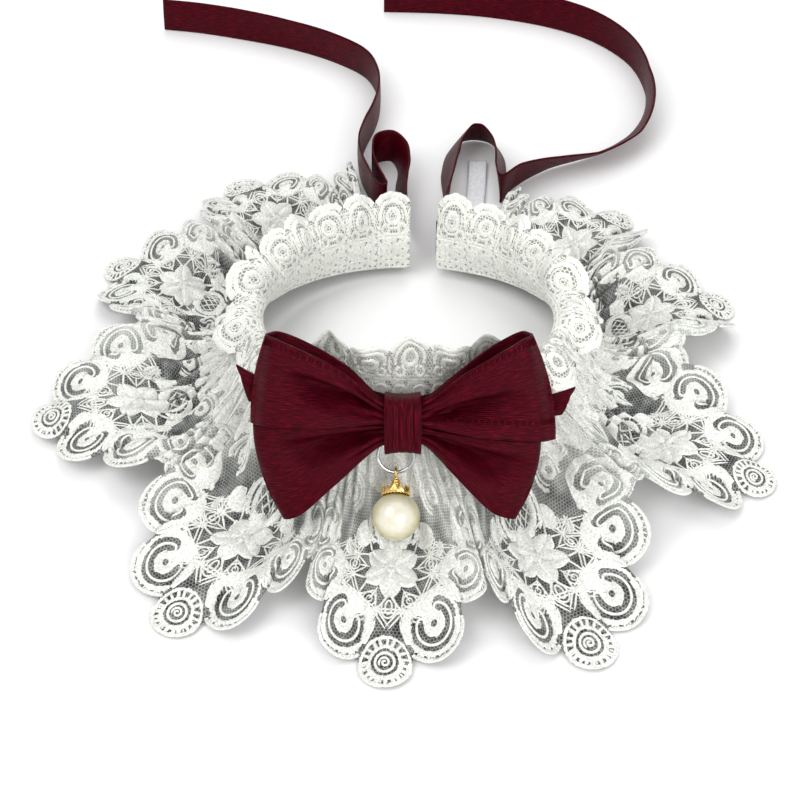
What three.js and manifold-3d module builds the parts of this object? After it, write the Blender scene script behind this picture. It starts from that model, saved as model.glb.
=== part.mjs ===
// Lace pet collar bib with a satin bow and a bead pendant.
// Millimetres, +Z up. The bow is at the front, towards -Y, and the neck opens at the back.
import * as THREE from 'three';
import { mergeVertices } from 'three/addons/utils/BufferGeometryUtils.js';

const { cos, sin, PI, abs, sqrt, min, max, floor, round, sign } = Math;
const radians = (degrees) => (degrees * PI) / 180;
const clamp = (x) => min(1, max(0, x));
const mix = (a, b, share) => a + (b - a) * share;
const smooth = (x) => clamp(x) ** 2 * (3 - 2 * clamp(x));
const hill = (x) => (1 - cos(2 * PI * x)) / 2;

// Driving dimensions

// The neck seam is a ring that is propped up at the front.
const ringX = 2;
const ringY = 8;
const seamRadius = 41;
const seamMiddleHeight = 16;
const seamTilt = 10.5;
const seamStart = -181; // degrees from the front, towards +X
const seamSweep = 350;

const laceWall = 1.4;
const frillWall = 1.2;
const ribbonWall = 1;
const seamGap = 0.35;

// Wide lace: one repeat of its scalloped edging, laid flat
const repeatPitch = 74;
const rosetteReach = 58; // from the neck seam to the middle of a rosette
const stripStart = 0.2; // in repeats
const stripEnd = 9.8;
const foldRadius = 85; // where the strip keeps its flat width along the floor
const foldSharpness = 1.4;
const valleyFlat = 0.12; // share of a flank that lies flat on the floor
const gatherBlend = 30; // length over which the gathers open out into folds
const puckersPerRepeat = 3;
const puckerHeight = 0.9;
const puckerLength = 26;

// How the strip comes down from the seam to the floor in a valley
const landingPerDrop = 1.64;
const shortestLanding = 14;
const landingPower = 1.6;

// A fold reaches its height this far from the seam, and further down at the front
const foldRise = 34;
const frontFoldRise = 46;
const frontSpread = 50; // degrees

// Where the strip lies: a row for each repeat, with its middle's angle, its rosette's distance
// from the middle of the neck and its height, then the ridge between it and the next one
const repeats = [
  { angle: -178, reach: 88, lift: 0, crestAngle: -164, crestShare: 0.5, crest: 6 },
  { angle: -149.5, reach: 89, lift: 0, crestAngle: -133, crestShare: 0.5, crest: 9 },
  { angle: -119, reach: 85.5, lift: 0, crestAngle: -98, crestShare: 0.5, crest: 9 },
  { angle: -78, reach: 87, lift: 2, crestAngle: -54, crestShare: 0.52, crest: 8 },
  { angle: -33, reach: 92, lift: 0, crestAngle: -17.5, crestShare: 0.5, crest: 8 },
  { angle: -3.3, reach: 91, lift: 0, crestAngle: 12, crestShare: 0.38, crest: 9 },
  { angle: 24, reach: 94, lift: 0, crestAngle: 49, crestShare: 0.54, crest: 10 },
  { angle: 65.8, reach: 88, lift: 0, crestAngle: 93, crestShare: 0.6, crest: 11 },
  { angle: 108.4, reach: 83.5, lift: 0, crestAngle: 124, crestShare: 0.5, crest: 9 },
  { angle: 138, reach: 84, lift: 0, crestAngle: 152, crestShare: 0.5, crest: 7 },
  { angle: 166, reach: 80, lift: 0, crestAngle: 180, crestShare: 0.5, crest: 0 },
];

// Round lobes that make one repeat's outline: across is from its middle, up is from the rosette
const lobes = [
  { across: 0, up: 0, radius: 5.6 },
  { across: 10.8, up: 7.5, radius: 7.6 },
  { across: 22.5, up: 19, radius: 9 },
  { across: 31, up: 31, radius: 10.5 },
];

// Narrow lace that stands up from the seam
const frillLobes = 28;
const frillBelow = 3; // seam allowance inside the neck
const frillPlain = 18;
const frillScallop = 3;
const scallopRoundness = 0.6;
const frillWaves = 13;
const frillWaveHeight = 2.4;
const waveFoot = 7.7; // up the frill, where the waves begin
const waveRise = 9;
const frontWaveHeight = 1; // behind the bow
const frontWaveFrom = 0.27; // as the cosine of the angle from the front
const frontWaveBlend = 0.45;
const frillLean = { front: 6, side: 34, back: 6 }; // degrees into the neck, side and back added
const frillRoll = { front: 20, side: 100, back: 30 }; // degrees outward over its height
const rollPower = 1.6;

// Beside the bow the frill turns right over and hangs down in front of the ribbon band
const hangFrom = 26; // degrees round from the bow, on both sides
const hangOpening = 16;
const hangUntil = 76;
const hangClosing = 34;
const hangStart = 4; // up the frill, where it begins to turn
const hangStop = 14;
const hangTurn = 140; // degrees from straight up

// Ribbon band, up the frill from the seam
const bandLow = 1.8;
const bandHigh = 8.6;
const bandGap = 0.6;
const bandInset = 0.012; // of its length, at each end

const walkStep = 0.5; // along a profile

// Closed walls from a grid of points on their middle surface

function gridNormals(grid, around) {
  const rows = grid.length;
  const columns = grid[0].length;
  const at = (i) => (around ? (i + rows) % rows : min(rows - 1, max(0, i)));
  return grid.map((row, i) =>
    row.map((_, j) => {
      const along = grid[at(i + 1)][j].clone().sub(grid[at(i - 1)][j]);
      const across = row[min(columns - 1, j + 1)].clone().sub(row[max(0, j - 1)]);
      return along.cross(across).normalize();
    }),
  );
}

// around joins the last row of the grid to the first
function wallGeometry(grid, thickness, around = false) {
  const rows = grid.length;
  const columns = grid[0].length;
  const normals = gridNormals(grid, around);
  const positions = [];
  for (const side of [1, -1]) {
    grid.forEach((row, i) =>
      row.forEach((point, j) => {
        const shifted = point.clone().addScaledVector(normals[i][j], (side * thickness) / 2);
        positions.push(shifted.x, shifted.y, shifted.z);
      }),
    );
  }
  const vertex = (side, i, j) => side * rows * columns + (i % rows) * columns + j;
  const faces = [];
  const quad = (a, b, c, d) => faces.push(a, b, c, a, c, d);
  const lastRow = around ? rows : rows - 1;
  for (let i = 0; i < lastRow; i += 1) {
    for (let j = 0; j < columns - 1; j += 1) {
      quad(vertex(0, i, j), vertex(0, i + 1, j), vertex(0, i + 1, j + 1), vertex(0, i, j + 1));
      quad(vertex(1, i, j), vertex(1, i, j + 1), vertex(1, i + 1, j + 1), vertex(1, i + 1, j));
    }
    const end = columns - 1;
    quad(vertex(0, i, 0), vertex(1, i, 0), vertex(1, i + 1, 0), vertex(0, i + 1, 0));
    quad(vertex(0, i, end), vertex(0, i + 1, end), vertex(1, i + 1, end), vertex(1, i, end));
  }
  for (let j = 0; j < columns - 1 && !around; j += 1) {
    const end = rows - 1;
    quad(vertex(0, 0, j), vertex(0, 0, j + 1), vertex(1, 0, j + 1), vertex(1, 0, j));
    quad(vertex(0, end, j), vertex(1, end, j), vertex(1, end, j + 1), vertex(0, end, j + 1));
  }
  const geometry = new THREE.BufferGeometry();
  geometry.setAttribute('position', new THREE.Float32BufferAttribute(positions, 3));
  geometry.setIndex(faces);
  return geometry;
}

function gridOf(rows, columns, point) {
  return Array.from({ length: rows + 1 }, (_, i) =>
    Array.from({ length: columns + 1 }, (_, j) => point(i / rows, j / columns)),
  );
}

// Neck ring

const seamHeight = (angle) => seamMiddleHeight + seamTilt * cos(radians(angle));

function onRing(angle, radius, height) {
  return new THREE.Vector3(
    ringX + radius * sin(radians(angle)),
    ringY - radius * cos(radians(angle)),
    height,
  );
}

// Wide lace flounce

// Height of the scalloped edge above the rosette's middle, at a distance across the repeat
function edgeAbove(across) {
  const heights = lobes.map((lobe) => {
    const inside = lobe.radius ** 2 - (abs(across) - lobe.across) ** 2;
    return inside > 0 ? lobe.up - sqrt(inside) : Infinity;
  });
  return min(...heights);
}

function flounceLength(repeat) {
  const across = (repeat - round(repeat)) * repeatPitch;
  return rosetteReach - edgeAbove(across);
}

// One fold of the strip, between the middles of two repeats. Each flank leaves its valley at the
// lace's flat width and is drawn together towards the crest.
function foldAt(repeat) {
  const first = min(repeats.length - 2, floor(repeat));
  const share = repeat - first;
  const [here, next] = [repeats[first], repeats[first + 1]];
  const rising = share < here.crestShare;
  const valley = rising ? here.angle : next.angle;
  const flat = (rising ? here.crestShare : 1 - here.crestShare) * repeatPitch;
  const along = rising ? share / here.crestShare : (1 - share) / (1 - here.crestShare);
  const width = abs(radians(here.crestAngle - valley)) * foldRadius;
  const climbed = 1 - (1 - along) ** max(1, flat / width);
  return {
    angle: mix(valley, here.crestAngle, climbed),
    crest: here.crest * hill(clamp((climbed - valleyFlat) / (1 - valleyFlat)) / 2) ** foldSharpness,
    lift: mix(here.lift, next.lift, smooth(share)),
    reach: mix(here.reach, next.reach, smooth(share)),
  };
}

// The strip's profile in a valley: it hangs from the seam and runs out flat on the floor
function valleyProfile(height, length) {
  const drop = height - laceWall / 2;
  const landing = max(shortestLanding, landingPerDrop * drop);
  const left = (v) => clamp(1 - v / landing);
  const slopeAt = (v) => (drop / landing) * landingPower * left(v) ** (landingPower - 1);
  let radius = seamRadius + laceWall / 2;
  for (let v = walkStep / 2; v < length; v += walkStep) {
    radius += walkStep * sqrt(1 - slopeAt(v) ** 2);
  }
  const slope = slopeAt(length);
  return {
    radius,
    height: laceWall / 2 + drop * left(length) ** landingPower,
    out: slope,
    up: sqrt(1 - slope ** 2),
  };
}

function flouncePoint(repeat, v) {
  const gathered = seamStart + (seamSweep * (repeat - stripStart)) / (stripEnd - stripStart);
  const fold = foldAt(repeat);
  const angle = mix(gathered, fold.angle, smooth(v / gatherBlend));
  const profile = valleyProfile(seamHeight(gathered), v);
  const full = valleyProfile(seamHeight(gathered), rosetteReach).radius - seamRadius;
  const reachShare = (fold.reach - seamRadius) / full;
  const ramp = smooth(v / mix(foldRise, frontFoldRise, smooth(1 - abs(angle) / frontSpread)));
  const puckered = sin(PI * clamp(v / puckerLength)) ** 2;
  const pucker = -puckerHeight * cos(2 * PI * puckersPerRepeat * repeat) * puckered;
  const rise = fold.crest * ramp + pucker;
  const spread = mix(1, reachShare, smooth(v / gatherBlend));
  const radius = seamRadius + (profile.radius - seamRadius) * spread + rise * profile.out;
  const height = profile.height + rise * profile.up + fold.lift * ramp;
  return onRing(angle, radius, max(laceWall / 2, height));
}

const flounceColumns = 220;
const flounceRows = 7;

function flounceGeometry() {
  const grid = gridOf(flounceColumns, flounceRows, (along, across) => {
    const repeat = mix(stripStart, stripEnd, along);
    return flouncePoint(repeat, across * flounceLength(repeat));
  });
  return wallGeometry(grid, laceWall);
}

// Neck frill

function hangAt(angle) {
  const away = abs(angle);
  return smooth((away - hangFrom) / hangOpening) * (1 - smooth((away - hangUntil) / hangClosing));
}

// w runs up the frill from the seam. It leans into the neck and then rolls outward, most at the
// sides; proud moves a point out from its surface.
function frillPoint(along, w, proud = 0) {
  const angle = seamStart + seamSweep * along;
  const sideways = sin(radians(angle)) ** 2;
  const backwards = smooth(-cos(radians(angle)));
  const around = (amount) => amount.front + amount.side * sideways + amount.back * backwards;
  const leanIn = radians(around(frillLean));
  const hang = hangAt(angle);
  const rollOut = mix(radians(around(frillRoll)), leanIn + radians(hangTurn), hang);
  const start = hangStart * hang;
  const stop = mix(frillPlain, hangStop, hang);
  const power = mix(rollPower, 1, hang);
  const turn = (u) => rollOut * clamp((u - start) / (stop - start)) ** power - leanIn;
  let radius = seamRadius - seamGap - frillWall / 2;
  let height = seamHeight(angle) - frillBelow;
  for (let u = -frillBelow + walkStep / 2; u < w; u += walkStep) {
    radius += walkStep * sin(turn(u));
    height += walkStep * cos(turn(u));
  }
  const frontal = smooth((cos(radians(angle)) - frontWaveFrom) / frontWaveBlend);
  const waveHeight = mix(frillWaveHeight, frontWaveHeight, frontal);
  const wave = waveHeight * sin(2 * PI * frillWaves * along) * smooth((w - waveFoot) / waveRise);
  const out = wave + proud;
  return onRing(angle, radius + out * cos(turn(w)), height - out * sin(turn(w)));
}

function frillTop(along) {
  return frillPlain + frillScallop * abs(sin(PI * frillLobes * along)) ** scallopRoundness;
}

const frillColumns = frillLobes * 4;
const frillRows = 6;

function frillGeometry() {
  const grid = gridOf(frillColumns, frillRows, (along, across) =>
    frillPoint(along, mix(-frillBelow, frillTop(along), across)),
  );
  return wallGeometry(grid, frillWall);
}

// Ribbon band, from the frill's own points moved out
const bandColumns = frillLobes * 2;
const bandRows = 2;

function bandGeometry() {
  const proud = frillWall / 2 + bandGap + ribbonWall / 2;
  const grid = gridOf(bandColumns, bandRows, (along, across) =>
    frillPoint(mix(bandInset, 1 - bandInset, along), mix(bandLow, bandHigh, across), proud),
  );
  return wallGeometry(grid, ribbonWall);
}

// The bow lies in a plane that leans back against the frill
const bowLean = radians(25);
const bowMiddle = new THREE.Vector3(0.6, -41.6, 32);
const bowUp = new THREE.Vector3(0, sin(bowLean), cos(bowLean));
const bowOut = new THREE.Vector3(0, -cos(bowLean), sin(bowLean));

function onBow(x, up, out) {
  return bowMiddle
    .clone()
    .addScaledVector(new THREE.Vector3(1, 0, 0), x)
    .addScaledVector(bowUp, up)
    .addScaledVector(bowOut, out);
}

// Stations of each loop, from the knot to its end: top and foot are its edges, puff is half its
// depth. The tucks draw the end's two corners in towards the knot. crease is where the pleat that
// leaves the knot lies, from the top edge, at 0, to the foot, at 1.
const bowLoops = [
  {
    name: 'bow_upper_left',
    side: -1,
    out: 0.7,
    topTuck: 3.6,
    footTuck: 0,
    crease: 0.56,
    stations: [
      { x: 1, top: 4.2, foot: 0.4, puff: 0.9 },
      { x: 4.6, top: 5.3, foot: 0.4, puff: 1.1 },
      { x: 12.5, top: 12.4, foot: 0.4, puff: 3 },
      { x: 22, top: 17.4, foot: 0.4, puff: 3.8 },
      { x: 29, top: 19.8, foot: 0.4, puff: 3 },
      { x: 31.4, top: 20, foot: 0.4, puff: 1.1 },
    ],
  },
  {
    name: 'bow_upper_right',
    side: 1,
    out: 0.7,
    topTuck: 5.4,
    footTuck: 0,
    crease: 0.5,
    stations: [
      { x: 1, top: 4.2, foot: 0.4, puff: 0.9 },
      { x: 4.6, top: 5.2, foot: -0.4, puff: 1.1 },
      { x: 14, top: 12.4, foot: -1.6, puff: 3 },
      { x: 21.5, top: 16.8, foot: -2.4, puff: 3.8 },
      { x: 29, top: 19.8, foot: -3, puff: 3 },
      { x: 31.6, top: 20, foot: -3.2, puff: 1.1 },
    ],
  },
  {
    name: 'bow_lower_left',
    side: -1,
    out: -0.8,
    topTuck: 0,
    footTuck: 6,
    crease: 0.48,
    stations: [
      { x: 1, top: -0.4, foot: -4.2, puff: 0.9 },
      { x: 4.6, top: -0.4, foot: -5, puff: 1.1 },
      { x: 15, top: -0.4, foot: -13.2, puff: 2.4 },
      { x: 25, top: -0.4, foot: -20.4, puff: 2.6 },
      { x: 31, top: -0.4, foot: -22, puff: 1.1 },
    ],
  },
  {
    name: 'bow_lower_right',
    side: 1,
    out: -0.8,
    topTuck: 0,
    footTuck: 5,
    crease: 0.3,
    stations: [
      { x: 1, top: -0.4, foot: -4.2, puff: 0.9 },
      { x: 4.6, top: -1.2, foot: -5, puff: 1.1 },
      { x: 13, top: -2.4, foot: -13, puff: 2.4 },
      { x: 22, top: -3.3, foot: -20.4, puff: 2.6 },
      { x: 28.6, top: -4, foot: -22, puff: 1.1 },
    ],
  },
];
const loopWidthSteps = 9;
const tuckPower = 3;
const creaseDepth = 1.4;
const creaseWidth = 0.2; // of the loop's width
const creaseFrom = 3; // out from the knot's middle
const creaseRise = 7;
const creaseUntil = 13;
const creaseFade = 14;

function creaseAt(x, fromCrease) {
  const along = smooth((x - creaseFrom) / creaseRise) * (1 - smooth((x - creaseUntil) / creaseFade));
  return creaseDepth * along * (1 - smooth(abs(fromCrease) / creaseWidth));
}

// A loop runs out along its front, folds over at its end and comes back behind
function loopGeometry(loop) {
  const { stations, side } = loop;
  const last = stations.length - 1;
  const stop = { ...stations[last], x: stations[last].x + stations[last].puff, puff: 0 };
  const front = stations.map((station) => ({ ...station, depth: station.puff }));
  const back = [...stations].reverse().map((station) => ({ ...station, depth: -station.puff }));
  const path = [...front, { ...stop, depth: 0 }, ...back];
  const grid = path.map((station) =>
    Array.from({ length: loopWidthSteps + 1 }, (_, j) => {
      const share = j / loopWidthSteps;
      const reach = (station.x / stop.x) ** tuckPower;
      const tuck = reach * (loop.topTuck * (1 - share) ** 2 + loop.footTuck * share ** 2);
      const up = mix(station.top, station.foot, share);
      const crease = station.depth > 0 ? creaseAt(station.x, share - loop.crease) : 0;
      return onBow(side * (station.x - tuck), up, loop.out + station.depth - crease);
    }),
  );
  return wallGeometry(side > 0 ? grid.reverse() : grid, ribbonWall);
}

// Knot: a ribbon wrapped round the middle of the bow
const knotUp = 6.2;
const knotOut = 3.2;
const knotHalfWidth = 3.9;
const knotWaist = 0.92;
const knotSquareness = 0.45; // 1 is an ellipse
const knotSteps = 28;
const knotWidthSteps = 4;

function knotGeometry() {
  const squared = (value) => sign(value) * abs(value) ** knotSquareness;
  const grid = Array.from({ length: knotSteps }, (_, i) => {
    const turn = (2 * PI * i) / knotSteps;
    return Array.from({ length: knotWidthSteps + 1 }, (_, j) => {
      const across = mix(-1, 1, j / knotWidthSteps);
      const up = knotUp * mix(knotWaist, 1, across ** 2) * squared(cos(turn));
      return onBow(knotHalfWidth * across, up, knotOut * squared(sin(turn)));
    });
  });
  return wallGeometry(grid, ribbonWall, true);
}

// Pendant: a wire ring behind the knot carries the bead by the eye of its cap
const wireRadius = 0.4;
const wireSides = 8;
const ringWireRadius = 4;
const ringSides = 28;
const ringOut = -(knotOut + ribbonWall / 2 + seamGap + wireRadius);
const ringUp = -8.9;
const ringAcross = -1.5;
const eyeRadius = 1.2;
const eyeWire = 0.3;
const eyeSeat = 0.2;
const beadRadius = 5.3;
const beadSides = 24;
const beadRows = 14;
const beadDrop = 10; // from the ring's wire to the middle of the bead
const beadClearance = 0.3;
const crownRadius = 3;
const crownLip = { out: 0.3, down: 0.1 };
const pendantLean = radians(58); // from straight down, towards the front

const ringFoot = onBow(ringAcross, ringUp - ringWireRadius, ringOut);
const pendantDown = new THREE.Vector3(0, -sin(pendantLean), -cos(pendantLean));

function alongPendant(distance) {
  return ringFoot.clone().addScaledVector(pendantDown, distance);
}

function jumpRingGeometry() {
  const ring = new THREE.TorusGeometry(ringWireRadius, wireRadius, wireSides, ringSides);
  const turn = new THREE.Matrix4().makeBasis(new THREE.Vector3(1, 0, 0), bowUp, bowOut);
  ring.applyMatrix4(turn);
  const middle = onBow(ringAcross, ringUp, ringOut);
  return ring.translate(middle.x, middle.y, middle.z);
}

const weld = 1e-3; // vertices this close are one

function asSolid(wasm, geometry) {
  const bare = geometry.clone();
  bare.deleteAttribute('normal');
  bare.deleteAttribute('uv');
  const merged = mergeVertices(bare, weld);
  return new wasm.Manifold(
    new wasm.Mesh({
      numProp: 3,
      vertProperties: new Float32Array(merged.attributes.position.array),
      triVerts: new Uint32Array(merged.index.array),
    }),
  );
}

function fromSolid(solid) {
  const mesh = solid.getMesh();
  const geometry = new THREE.BufferGeometry();
  geometry.setAttribute('position', new THREE.Float32BufferAttribute(mesh.vertProperties, 3));
  geometry.setIndex(Array.from(mesh.triVerts));
  return geometry;
}

// The crown is an open cup that sits just clear of the bead: its inside follows the bead.
// down is measured from the ring's wire.
const cupInside = (radius) => beadDrop - sqrt((beadRadius + beadClearance) ** 2 - radius ** 2);
const cupProfile = [
  { radius: 0, down: 1.2 },
  { radius: 0.75, down: 1.25 },
  { radius: 0.8, down: 1.9 },
  { radius: 1.4, down: 2.2 },
  { radius: 1.25, down: 2.8 },
  { radius: 2.2, down: 3.5 },
  { radius: 2.9, down: 4.4 },
  { radius: crownRadius + crownLip.out, down: cupInside(crownRadius) + crownLip.down },
  { radius: crownRadius, down: cupInside(crownRadius) },
  { radius: 2, down: cupInside(2) },
  { radius: 0, down: cupInside(0) },
];
const cupSides = 20;

function capGeometry(wasm) {
  const turnToPendant = new THREE.Matrix4().makeBasis(
    new THREE.Vector3(1, 0, 0),
    new THREE.Vector3(0, -cos(pendantLean), sin(pendantLean)),
    pendantDown,
  );
  const profile = cupProfile.map(({ radius, down }) => new THREE.Vector2(radius, down));
  const cup = new THREE.LatheGeometry(profile, cupSides);
  cup.rotateX(PI / 2);
  const eye = new THREE.TorusGeometry(eyeRadius, eyeWire, wireSides, cupSides);
  eye.rotateY(PI / 2);
  eye.translate(0, 0, eyeSeat);
  const geometry = fromSolid(asSolid(wasm, cup).add(asSolid(wasm, eye)));
  geometry.applyMatrix4(turnToPendant);
  return geometry.translate(ringFoot.x, ringFoot.y, ringFoot.z);
}

const beadMiddle = alongPendant(beadDrop);

function beadGeometry() {
  const bead = new THREE.SphereGeometry(beadRadius, beadSides, beadRows);
  return bead.translate(beadMiddle.x, beadMiddle.y, beadMiddle.z);
}

// Free ends of the ribbon, which lie behind the collar. lift is the ribbon's height off the
// floor, and tilt turns it from standing on its edge, at 0, to lying flat, at 90.
const tieWidth = 10;
const tieRoutes = {
  tie_left: [
    { x: 2.3, y: 54.2, lift: 5.2, tilt: 0 },
    { x: 1.9, y: 62, lift: 2.6, tilt: 0 },
    { x: 1, y: 71, lift: 0.5, tilt: 8 },
    { x: 0.3, y: 78.5, lift: 0, tilt: 20 },
    { x: 0.9, y: 87, lift: 0, tilt: 22 },
    { x: 0.6, y: 94.6, lift: 0, tilt: 14 },
    { x: -2.4, y: 99.6, lift: 0, tilt: 4 },
    { x: -6.4, y: 98.4, lift: 0, tilt: 0 },
    { x: -7.6, y: 92, lift: 0, tilt: 0 },
    { x: -6.2, y: 84, lift: 0, tilt: 0 },
    { x: -4.2, y: 77.4, lift: 0.4, tilt: 0 },
    { x: -3.6, y: 73.2, lift: 1.6, tilt: 0 },
    { x: -4.8, y: 71.4, lift: 2.4, tilt: 0 },
    { x: -6.6, y: 73.6, lift: 2.2, tilt: 0 },
    { x: -8.4, y: 80, lift: 1.4, tilt: 0 },
    { x: -10.6, y: 88.5, lift: 0.8, tilt: 0 },
    { x: -11.4, y: 97, lift: 0.2, tilt: 0 },
    { x: -10, y: 105.5, lift: 0, tilt: 0 },
    { x: -7.6, y: 114, lift: 0, tilt: 0 },
    { x: -6.2, y: 122.5, lift: 0, tilt: 0 },
    { x: -6.4, y: 131, lift: 0, tilt: 0 },
    { x: -10, y: 141.5, lift: 0, tilt: 0 },
    { x: -20, y: 150.5, lift: 0, tilt: 0 },
    { x: -34, y: 158, lift: 0, tilt: 0 },
    { x: -50, y: 164, lift: 0, tilt: 6 },
    { x: -62, y: 167.4, lift: 0, tilt: 6 },
    { x: -73, y: 169.4, lift: 0, tilt: 6 },
  ],
  tie_right: [
    { x: 9.6, y: 51.4, lift: 4.95, tilt: 0 },
    { x: 11.2, y: 61, lift: 2.4, tilt: 0 },
    { x: 12.6, y: 71, lift: 0.4, tilt: 0 },
    { x: 13.4, y: 81, lift: 0, tilt: 14 },
    { x: 14, y: 91, lift: 0, tilt: 28 },
    { x: 16, y: 101, lift: 0, tilt: 32 },
    { x: 19.6, y: 106.6, lift: 0, tilt: 30 },
    { x: 24, y: 106.2, lift: 0, tilt: 28 },
    { x: 27.2, y: 100, lift: 0, tilt: 24 },
    { x: 28, y: 92.5, lift: 0, tilt: 18 },
    { x: 27.2, y: 84, lift: 0, tilt: 10 },
    { x: 27.6, y: 79.4, lift: 0, tilt: 4 },
    { x: 32.5, y: 85.5, lift: 0, tilt: 16 },
    { x: 43, y: 92.5, lift: 0, tilt: 38 },
    { x: 55, y: 97.6, lift: 0, tilt: 50 },
    { x: 65.4, y: 105.4, lift: 0, tilt: 44 },
    { x: 71.4, y: 117, lift: 0, tilt: 20 },
    { x: 73, y: 132, lift: 0, tilt: 0 },
    { x: 69.6, y: 148.5, lift: 0, tilt: 0 },
    { x: 60, y: 162, lift: 0, tilt: 6 },
    { x: 47, y: 170.6, lift: 0, tilt: 10 },
    { x: 29, y: 176.4, lift: 0, tilt: 10 },
    { x: 12, y: 179, lift: 0, tilt: 10 },
    { x: -5, y: 180, lift: 0, tilt: 10 },
  ],
};
const tieSteps = 72;
const tieClearance = 0.05; // above the floor

function tieGeometry(route) {
  const curve = new THREE.CatmullRomCurve3(
    route.map(({ x, y, lift }) => new THREE.Vector3(x, y, lift)),
    false,
    'centripetal',
  );
  const up = new THREE.Vector3(0, 0, 1);
  const grid = Array.from({ length: tieSteps + 1 }, (_, i) => {
    const share = i / tieSteps;
    const place = share * (route.length - 1);
    const before = min(route.length - 2, floor(place));
    const tilt = radians(mix(route[before].tilt, route[before + 1].tilt, place - before));
    const side = curve.getTangent(share).setZ(0).normalize().cross(up);
    const widthways = up.clone().multiplyScalar(cos(tilt)).addScaledVector(side, sin(tilt));
    const middle = curve.getPoint(share);
    const resting = (tieWidth * cos(tilt) + ribbonWall * abs(sin(tilt))) / 2 + tieClearance;
    middle.z = resting + max(0, middle.z);
    return [-0.5, 0.5].map((part) => middle.clone().addScaledVector(widthways, part * tieWidth));
  });
  return wallGeometry(grid, ribbonWall);
}

// White satin tab at the right-hand end of the neck seam, from the seam outward
const tabRows = [
  { x: 16, y: 54, z: 0.9 },
  { x: 18.2, y: 65, z: 0.7 },
  { x: 20.2, y: 76, z: 0.6 },
  { x: 21.4, y: 88, z: 0.6 },
  { x: 22, y: 98, z: 0.6 },
];
const tabWidth = 5;

function tabGeometry() {
  const grid = tabRows.map(({ x, y, z }) =>
    [-0.5, 0.5].map((part) => new THREE.Vector3(x + part * tabWidth, y, z)),
  );
  return wallGeometry(grid.reverse(), ribbonWall);
}

// Materials

function finish(color, roughness, metalness = 0) {
  return new THREE.MeshStandardMaterial({ color, roughness, metalness, side: THREE.FrontSide });
}

const lace = () => finish('#e9e9e4', 0.85);
const satin = () => finish('#5a0a1c', 0.5);

const { default: Module } = await import('manifold-3d');
const wasm = await Module();
wasm.setup();

const collar = new THREE.Group();

function add(name, geometry, material) {
  const mesh = new THREE.Mesh(geometry, material);
  mesh.name = name;
  collar.add(mesh);
}

add('flounce', flounceGeometry(), lace());
add('neck_frill', frillGeometry(), lace());
add('ribbon_band', bandGeometry(), satin());
bowLoops.forEach((loop) => add(loop.name, loopGeometry(loop), satin()));
add('bow_knot', knotGeometry(), satin());
add('jump_ring', jumpRingGeometry(), finish('#d5d7da', 0.2, 1));
add('bead_cap', capGeometry(wasm), finish('#d9a441', 0.3, 1));
add('pearl', beadGeometry(), finish('#efe6cf', 0.25));
add('satin_tab', tabGeometry(), finish('#f2f2f2', 0.5));

// The origin is under the middle of the collar's footprint; the free ties don't count
const footprint = new THREE.Box3().setFromObject(collar);
Object.entries(tieRoutes).forEach(([name, route]) => add(name, tieGeometry(route), satin()));
const middle = footprint.getCenter(new THREE.Vector3());
collar.position.set(-middle.x, -middle.y, -footprint.min.z);

export default collar;
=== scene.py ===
"""Lace pet bib: gathered scalloped lace, a standing frill, satin bow, ribbon ties and a bead pendant.

Lengths are millimetres in the functions below and metres in Blender. The surfaces follow the same
formulas as the solids, with fine gathers, creases and a soft dome added, so a piece lies where its
solid lies.
"""

import math

import bpy
import numpy as np
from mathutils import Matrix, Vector


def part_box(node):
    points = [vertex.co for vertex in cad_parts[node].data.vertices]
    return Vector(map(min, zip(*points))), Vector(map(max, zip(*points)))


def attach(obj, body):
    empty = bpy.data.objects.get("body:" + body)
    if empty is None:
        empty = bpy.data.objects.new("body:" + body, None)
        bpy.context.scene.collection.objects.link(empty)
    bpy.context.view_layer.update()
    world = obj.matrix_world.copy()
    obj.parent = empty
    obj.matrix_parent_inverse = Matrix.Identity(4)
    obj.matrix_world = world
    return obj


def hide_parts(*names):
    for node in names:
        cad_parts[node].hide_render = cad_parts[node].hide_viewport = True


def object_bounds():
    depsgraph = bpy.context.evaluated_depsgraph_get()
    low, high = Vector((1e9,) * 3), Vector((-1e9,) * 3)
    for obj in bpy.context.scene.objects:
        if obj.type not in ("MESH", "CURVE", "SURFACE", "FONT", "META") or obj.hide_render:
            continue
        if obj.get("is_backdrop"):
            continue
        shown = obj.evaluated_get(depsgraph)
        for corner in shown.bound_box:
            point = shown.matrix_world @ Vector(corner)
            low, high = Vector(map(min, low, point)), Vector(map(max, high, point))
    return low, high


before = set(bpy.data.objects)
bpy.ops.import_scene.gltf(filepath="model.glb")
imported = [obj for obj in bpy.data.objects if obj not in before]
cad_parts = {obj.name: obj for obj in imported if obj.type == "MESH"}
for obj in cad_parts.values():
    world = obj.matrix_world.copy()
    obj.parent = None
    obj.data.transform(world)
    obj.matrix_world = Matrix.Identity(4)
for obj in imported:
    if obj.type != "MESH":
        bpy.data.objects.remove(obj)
CAD_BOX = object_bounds()

MM = 0.001
TAU = 2 * math.pi

# ---- driving dimensions, as in the solids

RING = (2, 8)
SEAM_RADIUS = 41
SEAM_MIDDLE_HEIGHT = 16
SEAM_TILT = 10.5
SEAM_START = -181
SEAM_SWEEP = 350
LACE_WALL = 1.4
FRILL_WALL = 1.2
RIBBON_WALL = 1
SEAM_GAP = 0.35

REPEAT_PITCH = 74
ROSETTE_REACH = 58
STRIP_START = 0.2
STRIP_END = 9.8
FOLD_RADIUS = 85
FOLD_SHARPNESS = 1.4
VALLEY_FLAT = 0.12
GATHER_BLEND = 30
PUCKERS_PER_REPEAT = 3
PUCKER_HEIGHT = 0.9
PUCKER_LENGTH = 26
LANDING_PER_DROP = 1.64
SHORTEST_LANDING = 14
LANDING_POWER = 1.6
FOLD_RISE = 34
FRONT_FOLD_RISE = 46
FRONT_SPREAD = 50

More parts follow.
